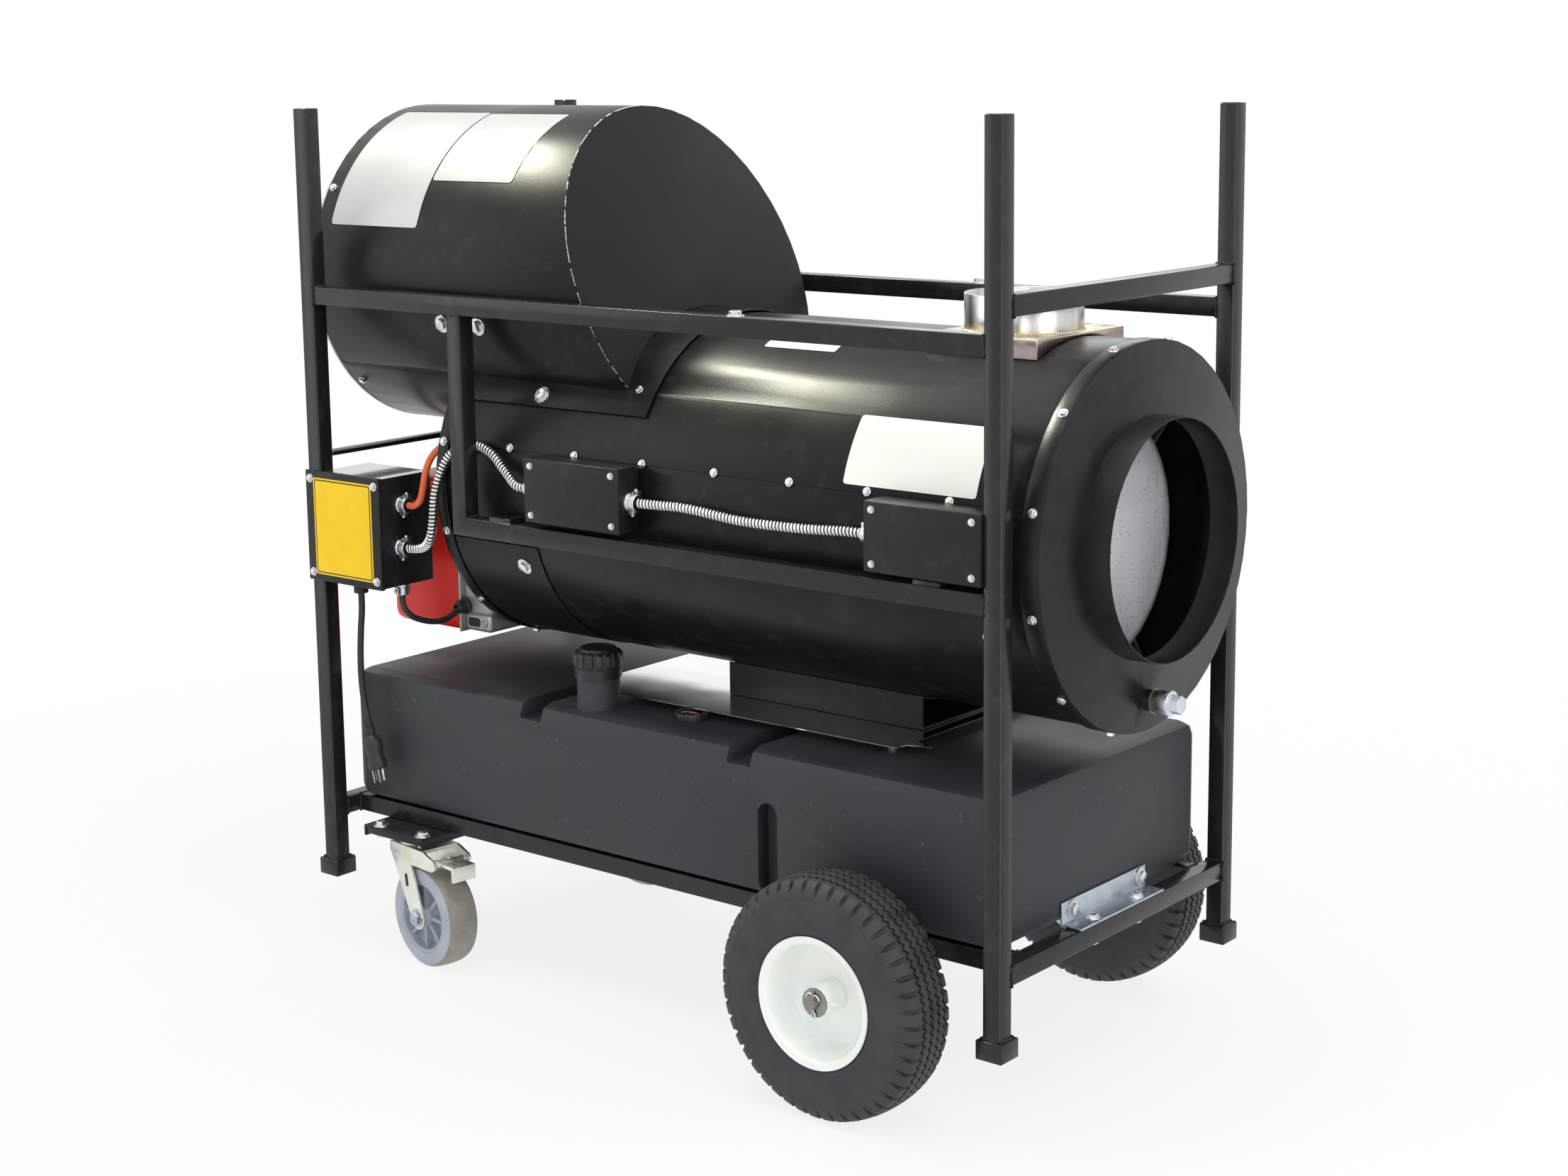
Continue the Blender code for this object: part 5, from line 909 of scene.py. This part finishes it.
weld_silver = plated("weld_silver", (0.72, 0.72, 0.72), (0.40, 0.40, 0.40), (0.2, 0.5))
tack_count, tack_start, tack_sweep, tack_reach = 200, -34, 124, housing_radius - 0.0006
bm = bmesh.new()
for side in (-1, 1):
    for number in range(tack_count):
        if noise.noise(Vector((number * 0.23, side * 4.0, 0))) < -0.10:
            continue
        angle = math.radians(tack_start + tack_sweep * number / tack_count)
        z = housing_z + tack_reach * math.sin(angle)
        wobble = noise.noise_vector(Vector((number * 0.9, side, 2)))
        bead(bm, (slant_x(z) + 0.0006, side * tack_reach * math.cos(angle), z), 0.00115 + 0.0004 * wobble.x)
finished("slant_weld_tacks", bm, weld_silver, sharp=80)

bm = bmesh.new()
for x, angle in ((-0.64635, 30.8), (-0.63735, -43.9), (-0.64635, 149.2), (-0.63735, 223.9)):
    hex_screw(bm, *on_barrel(x, angle, housing_radius, housing_z), 0.0050, 1.2)
for x in (-0.40135, -0.33035):
    for angle in (-15.2, 195.2):
        hex_screw(bm, *on_barrel(x, angle, housing_radius, housing_z), 0.0090, 1.45)
rail_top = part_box("near_upper_rail")[1].z
for side in (-1, 1):
    hex_screw(bm, (0.16965, side * 0.267, rail_top), (0, 0, 1), 0.0085, 1.4)
finished("housing_screws", bm, zinc)
bm = bmesh.new()
hex_screw(bm, *on_barrel(-0.37935, 88, housing_radius - 0.0068, housing_z), 0.010, 1.2, 0.4)
finished("housing_top_bolt", bm, saddle_paint)

bm = bmesh.new()
bent_plate(bm, housing_z, housing_radius + 0.0001, -0.62835, -0.45035, 17.3, 73, corner=0.005)
bent_plate(bm, housing_z, housing_radius + 0.0001, -0.44735, -0.29135, 35, 72, corner=0.005)
finished("housing_plates", bm, plate_film("housing_film", (0.62, 0.65, 0.62), (0.56, 0.59, 0.56)))

guard_wire = plated("guard_wire_zinc", (0.50, 0.50, 0.49), (0.40, 0.40, 0.38), (0.3, 0.5))
cast_metal = Finish(
    "cast_metal", (0.50, 0.50, 0.49), (0.42, 0.65), (90, 4), (420, 4, 0.00018), metallic=0.9
)
guard_low, guard_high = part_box("inlet_guard")
wire_radius, band, edge = 0.0020, 0.0080, 0.0006
guard_x, guard_reach = (guard_low.x + guard_high.x) / 2, (guard_high.z - guard_low.z) / 2
guard_stand = stand_at((guard_x, 0, housing_z), (-1, 0, 0))
profile = [(guard_reach - band, edge - wire_radius), (guard_reach - band + edge, -wire_radius)]
profile += [(guard_reach - edge, -wire_radius), (guard_reach, edge - wire_radius)]
bm = bmesh.new()
turned(bm, both_ways(profile) + profile[:1], guard_stand, 128)
for hoop in (0.060, 0.120, 0.180):
    angles = [math.tau * number / 10 for number in range(11)]
    wire = [(hoop + 0.9 * wire_radius * math.cos(a), 0.9 * wire_radius * math.sin(a)) for a in angles]
    turned(bm, wire, guard_stand, 96)
for degrees in (0, 90):
    middle = Matrix.Translation((guard_x, 0, housing_z)) @ rotation(degrees, "X")
    peg(bm, middle, 12, wire_radius, wire_radius, 2 * guard_reach - band)
finished("inlet_guard_wires", bm, guard_wire, replaced="inlet_guard")
dressed("fan_blade_set", "fan_blades", cast_metal, 0.0005, 2, 40, "fan")
dressed("fan_motor_case", "fan_motor", matte_plate, 0.0008, 2, 50)


# Junction boxes and wiring: two shallow boxes with four-screw covers, clamp connectors, armoured
# conduit in wound strip, an orange cable and a black lead.
def cover_screws(bm, node, inset_x, inset_z, size, washer):
    """A screw near each corner of a cover that faces near."""
    low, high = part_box(node)
    for x in (low.x + inset_x, high.x - inset_x):
        for z in (low.z + inset_z, high.z - inset_z):
            hex_screw(bm, (x, low.y, z), (0, -1, 0), size, washer)


box_paint = powder_coat("box_paint", (0.011, 0.011, 0.012), (0.30, 0.42))
screws = bmesh.new()
for name in ("first", "second"):
    dressed(f"{name}_junction_case", f"{name}_junction_box", box_paint, 0.0006, 2, 50)
    dressed(f"{name}_junction_lid", f"{name}_junction_cover", box_paint, 0.0009, 3, 50)
    cover_screws(screws, f"{name}_junction_cover", 0.012, 0.010, 0.0042, 1.15)
finished("junction_screws", screws, zinc)

connector_metal = plated("connector_metal", (0.74, 0.76, 0.80), (0.58, 0.60, 0.63), (0.2, 0.4))
connector_profile = mm(0, 0.1, 12.5, 0.1, 12.5, 3.5, 11.2, 4.2, 11.2, 14.5, 10.6, 15.8, 6.7, 15.8, 6.7, 12)
connectors = (
    ((-0.0209, -0.263, 0.7381), (1, 0, 0)), ((-0.1924, -0.263, 0.7381), (-1, 0, 0)),
    ((0.3826, -0.263, 0.7381), (-1, 0, 0)), ((-0.48435, -0.247, 0.623), (1, 0, 0)),
    ((-0.48435, -0.243, 0.685), (1, 0, 0)), ((-0.49735, -0.235, 0.5661), (0, 0, -1)),
)
bm = bmesh.new()
for point, outward in connectors:
    stand = stand_at(point, outward)
    turned(bm, connector_profile, stand, 48)
    for lug in (-1, 1):
        block(bm, (0.0075, 0.006, 0.010), (0.0035 * lug, 0.0118 * lug, 0.0095), stand)
        head = stand @ Vector((0.0035 * lug, 0.0148 * lug, 0.0095))
        hex_screw(bm, head, stand.to_3x3() @ Vector((0, lug, 0)), 0.0030, 1.1, 0.8)
round_edges(bm, 0.0005, 1, 60)
finished("clamp_connectors", bm, connector_metal)

armour = plated("armour_strip", (0.80, 0.80, 0.78), (0.62, 0.62, 0.59), (0.12, 0.28))
# The core's dark colour is painted shade for the grooves between the turns of strip.
armour_groove_shade = Finish("armour_groove_shade", (0.10, 0.10, 0.10), (0.4, 0.6), (200,), metallic=1)
conduit_radius, strip_pitch, strip_radius, steps_per_turn = 0.0072, 0.0056, 0.0018, 20


def across(points):
    """For each point of a route, two directions across it that don't twist."""
    frames = []
    side = Vector((0, 0, 1)).cross(points[1] - points[0])
    side = side.normalized() if side.length > 0.000001 else Vector((0, 1, 0))
    for number in range(len(points)):
        ahead = points[min(number + 1, len(points) - 1)] - points[max(number - 1, 0)]
        ahead.normalize()
        side = (side - ahead * side.dot(ahead)).normalized()
        frames.append((side, ahead.cross(side)))
    return frames


def armoured(name, route):
    """A conduit of wound strip: a helix of rounded strip over a darker core, whose dark colour is painted shade
    in the grooves between the turns.
    """
    points = route_through(route, 0.0035)
    tube(f"{name}_core", points, conduit_radius - 0.0022, armour_groove_shade, 3, name)
    lengths = [0]
    for start, end in zip(points, points[1:]):
        lengths.append(lengths[-1] + (end - start).length)
    frames = across(points)
    count = round(lengths[-1] / strip_pitch * steps_per_turn)
    winding = []
    at = 0
    for number in range(count + 1):
        along = lengths[-1] * number / count
        while at < len(lengths) - 2 and lengths[at + 1] < along:
            at += 1
        share = (along - lengths[at]) / (lengths[at + 1] - lengths[at])
        centre = points[at].lerp(points[at + 1], share)
        side, up = (a.lerp(b, share).normalized() for a, b in zip(frames[at], frames[at + 1]))
        angle = math.tau * along / strip_pitch
        outward = side * math.cos(angle) + up * math.sin(angle)
        winding.append(centre + outward * (conduit_radius - strip_radius))
    tube(f"{name}_winding", winding, strip_radius, armour, 1)


armoured("first_conduit", laid(
    -438.4, -247, 623, -424.4, -247, 624, -400, -250, 630, -382, -256, 646, -373, -258, 674, -368, -258, 707,
    -357, -254, 743, -341, -250, 768, -320, -247, 781, -293, -246.5, 786, -262, -249, 778, -226, -256, 755,
    -193.6, -263, 738.1, -179.6, -263, 738.1,
))
armoured("second_conduit", laid(
    25.1, -263, 738.1, 39.1, -263, 738.1, 94, -262, 739.5, 203, -262, 732.5, 297, -262, 733.5,
    381.4, -263, 738.1, 395.4, -263, 738.1,
))
lead_route = laid(
    -468, -235, 549.6, -468, -235, 540, -466, -233.5, 530, -463.5, -224, 517, -461, -208, 508.5,
    -459, -187, 502, -457, -165, 500.5, -455, -145, 507.6, -454, -131.5, 514.5, -454, -126.2, 515,
    -454, -122.3, 515,
)
orange_route = laid(
    -438.4, -243, 685, -427.4, -243, 685.5, -417.5, -241.5, 693, -413, -239, 708, -411, -236, 727,
    -408.5, -231, 745, -402, -224, 761, -392, -217, 771, -383, -213.3, 775, -378.7, -212, 775,
    -376.3, -211.9, 775,
)
orange_jacket = Finish("orange_jacket", ((0.88, 0.17, 0.055), (0.74, 0.12, 0.035)), 0.42, (60, 3))
orange_jacket.feed("Roughness", orange_jacket.spread(orange_jacket.grain(140), 0, 1, 0.36, 0.52))
lead_points, orange_points = route_through(lead_route, 0.006), route_through(orange_route, 0.006)
tube("burner_lead_flex", lead_points, 0.0045, black_rubber, 4, "burner_lead")
tube("orange_cable_flex", orange_points, 0.005, orange_jacket, 4, "orange_cable")


# Control box: folded and painted steel with a cover that carries a bare yellow plate, glands
# below, a rocker switch on its end, and a glossy top skin painted lighter: a painted reflection.
dressed("control_case", "control_box", box_paint, 0.0008, 2, 50)
dressed("control_lid", "control_cover", box_paint, 0.0010, 3, 50)
# The top skin's lighter colour is a painted reflection of the bright top face; its gloss and coat come from the
# shader.
top_gloss_and_painted_reflection = powder_coat("box_top_gloss", (0.12, 0.12, 0.135), (0.05, 0.10), 1)
top_gloss_and_painted_reflection.fix({"Coat Weight": 1, "Coat IOR": 2.2, "IOR": 2})
low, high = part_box("control_box")
left, right, skin = low.x + 0.004, -0.48435, 0.0003
bm = bmesh.new()
middle = ((left + right) / 2, (low.y + high.y) / 2, high.z + skin)
block(bm, (right - left, high.y - low.y - 0.001, skin), middle)
round_edges(bm, 0.0001, 1)
finished("control_case_top", bm, top_gloss_and_painted_reflection)
bm = bmesh.new()
cover_screws(bm, "control_cover", 0.010, 0.012, 0.0050, 1.3)
finished("control_screws", bm, zinc)

plate_black = Finish("plate_border", (0.02, 0.02, 0.02), (0.3, 0.45), (60,))
plate_yellow = Finish(
    "plate_yellow", ((0.97, 0.65, 0.004), (0.90, 0.58, 0.008)), (0.28, 0.42), (25, 4), specular=0.3
)
layers = (
    ("control_plate_edge", plate_yellow, 0, 0.0003, 0.004),
    ("control_plate_line", plate_black, 0.0024, 0.00015, 0.003),
    ("control_plate", plate_yellow, 0.0042, 0.00015, 0.0022),
)
low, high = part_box("control_cover")
front = low.y
for name, finish, inset, thickness, corner in layers:
    x_low, x_high = low.x + 0.0165 + inset, high.x - 0.0165 - inset
    z_low, z_high = low.z + 0.010 + inset, high.z - 0.010 - inset
    bm = bmesh.new()
    middle = ((x_low + x_high) / 2, front - thickness / 2, (z_low + z_high) / 2)
    block(bm, (x_high - x_low, thickness, z_high - z_low), middle)
    upright = [e for e in bm.edges if abs((e.verts[0].co - e.verts[1].co).y) > thickness / 2]
    bmesh.ops.bevel(
        bm, geom=upright, offset=corner, offset_type="OFFSET", segments=6, profile=0.5,
        affect="EDGES", material=-1,
    )
    finished(name, bm, finish)
    front -= thickness

switch_black = Finish("switch_black", (0.018, 0.018, 0.018), (0.28, 0.42), (200,))
dressed("power_rocker", "power_switch", switch_black, 0.0007, body="switch")


# Burner: a glossy red hood over a cast body with its motor, the blast tube and flange, and a
# red reset button behind.
hood_red = Finish(
    "hood_red", ((0.82, 0.030, 0.020), (0.70, 0.018, 0.012)), (0.24, 0.36), (6, 3), (180, 2, 0.00004),
    specular=0.3,
)
dressed("burner_hood_shell", "burner_hood", hood_red, 0.0010, 2, 50, sharp=40)
dressed("burner_body_casting", "burner_body", cast_metal, 0.0012, 2, 50, sharp=40)
bm = bmesh.new()
for y in (-0.100, 0.100):
    for z in (0.520, 0.662):
        hex_screw(bm, (-0.4313, y, z), (1, 0, 0), 0.0060, 1.2)
for y in (-0.073, 0.073):
    for z in (0.540, 0.686):
        hex_screw(bm, (-0.4160, y, z), (-1, 0, 0), 0.0062)
finished("burner_bolts", bm, zinc)
near = (0, -1, 0)
boot_profile = mm(
    4.6, 0.2, 11.8, 0.2, 12.4, 1, 12.4, 4, 11.6, 5.2, 9.8, 6, 9.2, 12, 9.8, 13.5, 9.2, 15, 6.6, 20, 5.6, 21,
    4.6, 20.6, 4.6, 0.2,
)
bm = bmesh.new()
turned(bm, boot_profile, stand_at((-0.48335, -0.1221, 0.515), near), 48)
finished("burner_lead_boot", bm, black_rubber)
skirt_low, skirt_high = Vector((-0.4885, -0.1196, 0.4775)), Vector((-0.4360, 0.1196, 0.5060))
bm = bmesh.new()
block(bm, skirt_high - skirt_low, (skirt_high + skirt_low) / 2)
round_edges(bm, 0.006, 4)
ring = mm(3, 0, 6.6, 0, 6.6, 1.8, 5.8, 2.6, 3.8, 2.6, 3, 1.8, 3, 0)
turned(bm, ring, stand_at((-0.4475, -0.1196, 0.4925), near), 32)
finished("burner_casting_skirt", bm, cast_metal, sharp=40)
# The port is a flat dark sheet on the casting's face: painted shade standing for the opening.
port_painted_shade = Finish("port_painted_shade", (0.012, 0.012, 0.012), 0.6, relief=(300, 3, 0.00004))
bm = bmesh.new()
port = bmesh.ops.create_circle(bm, cap_ends=True, segments=40, radius=0.0052)["verts"]
for vert in port:
    vert.co.x += math.copysign(0.0072, vert.co.x)
    vert.co.y += math.copysign(0.0016, vert.co.y)
bmesh.ops.transform(bm, matrix=stand_at((-0.4690, -0.1198, 0.4915), near), verts=port)
finished("burner_port", bm, port_painted_shade)
dressed("reset_knob", "reset_button", pointer_red, 0.0006, 2, 40, "reset")
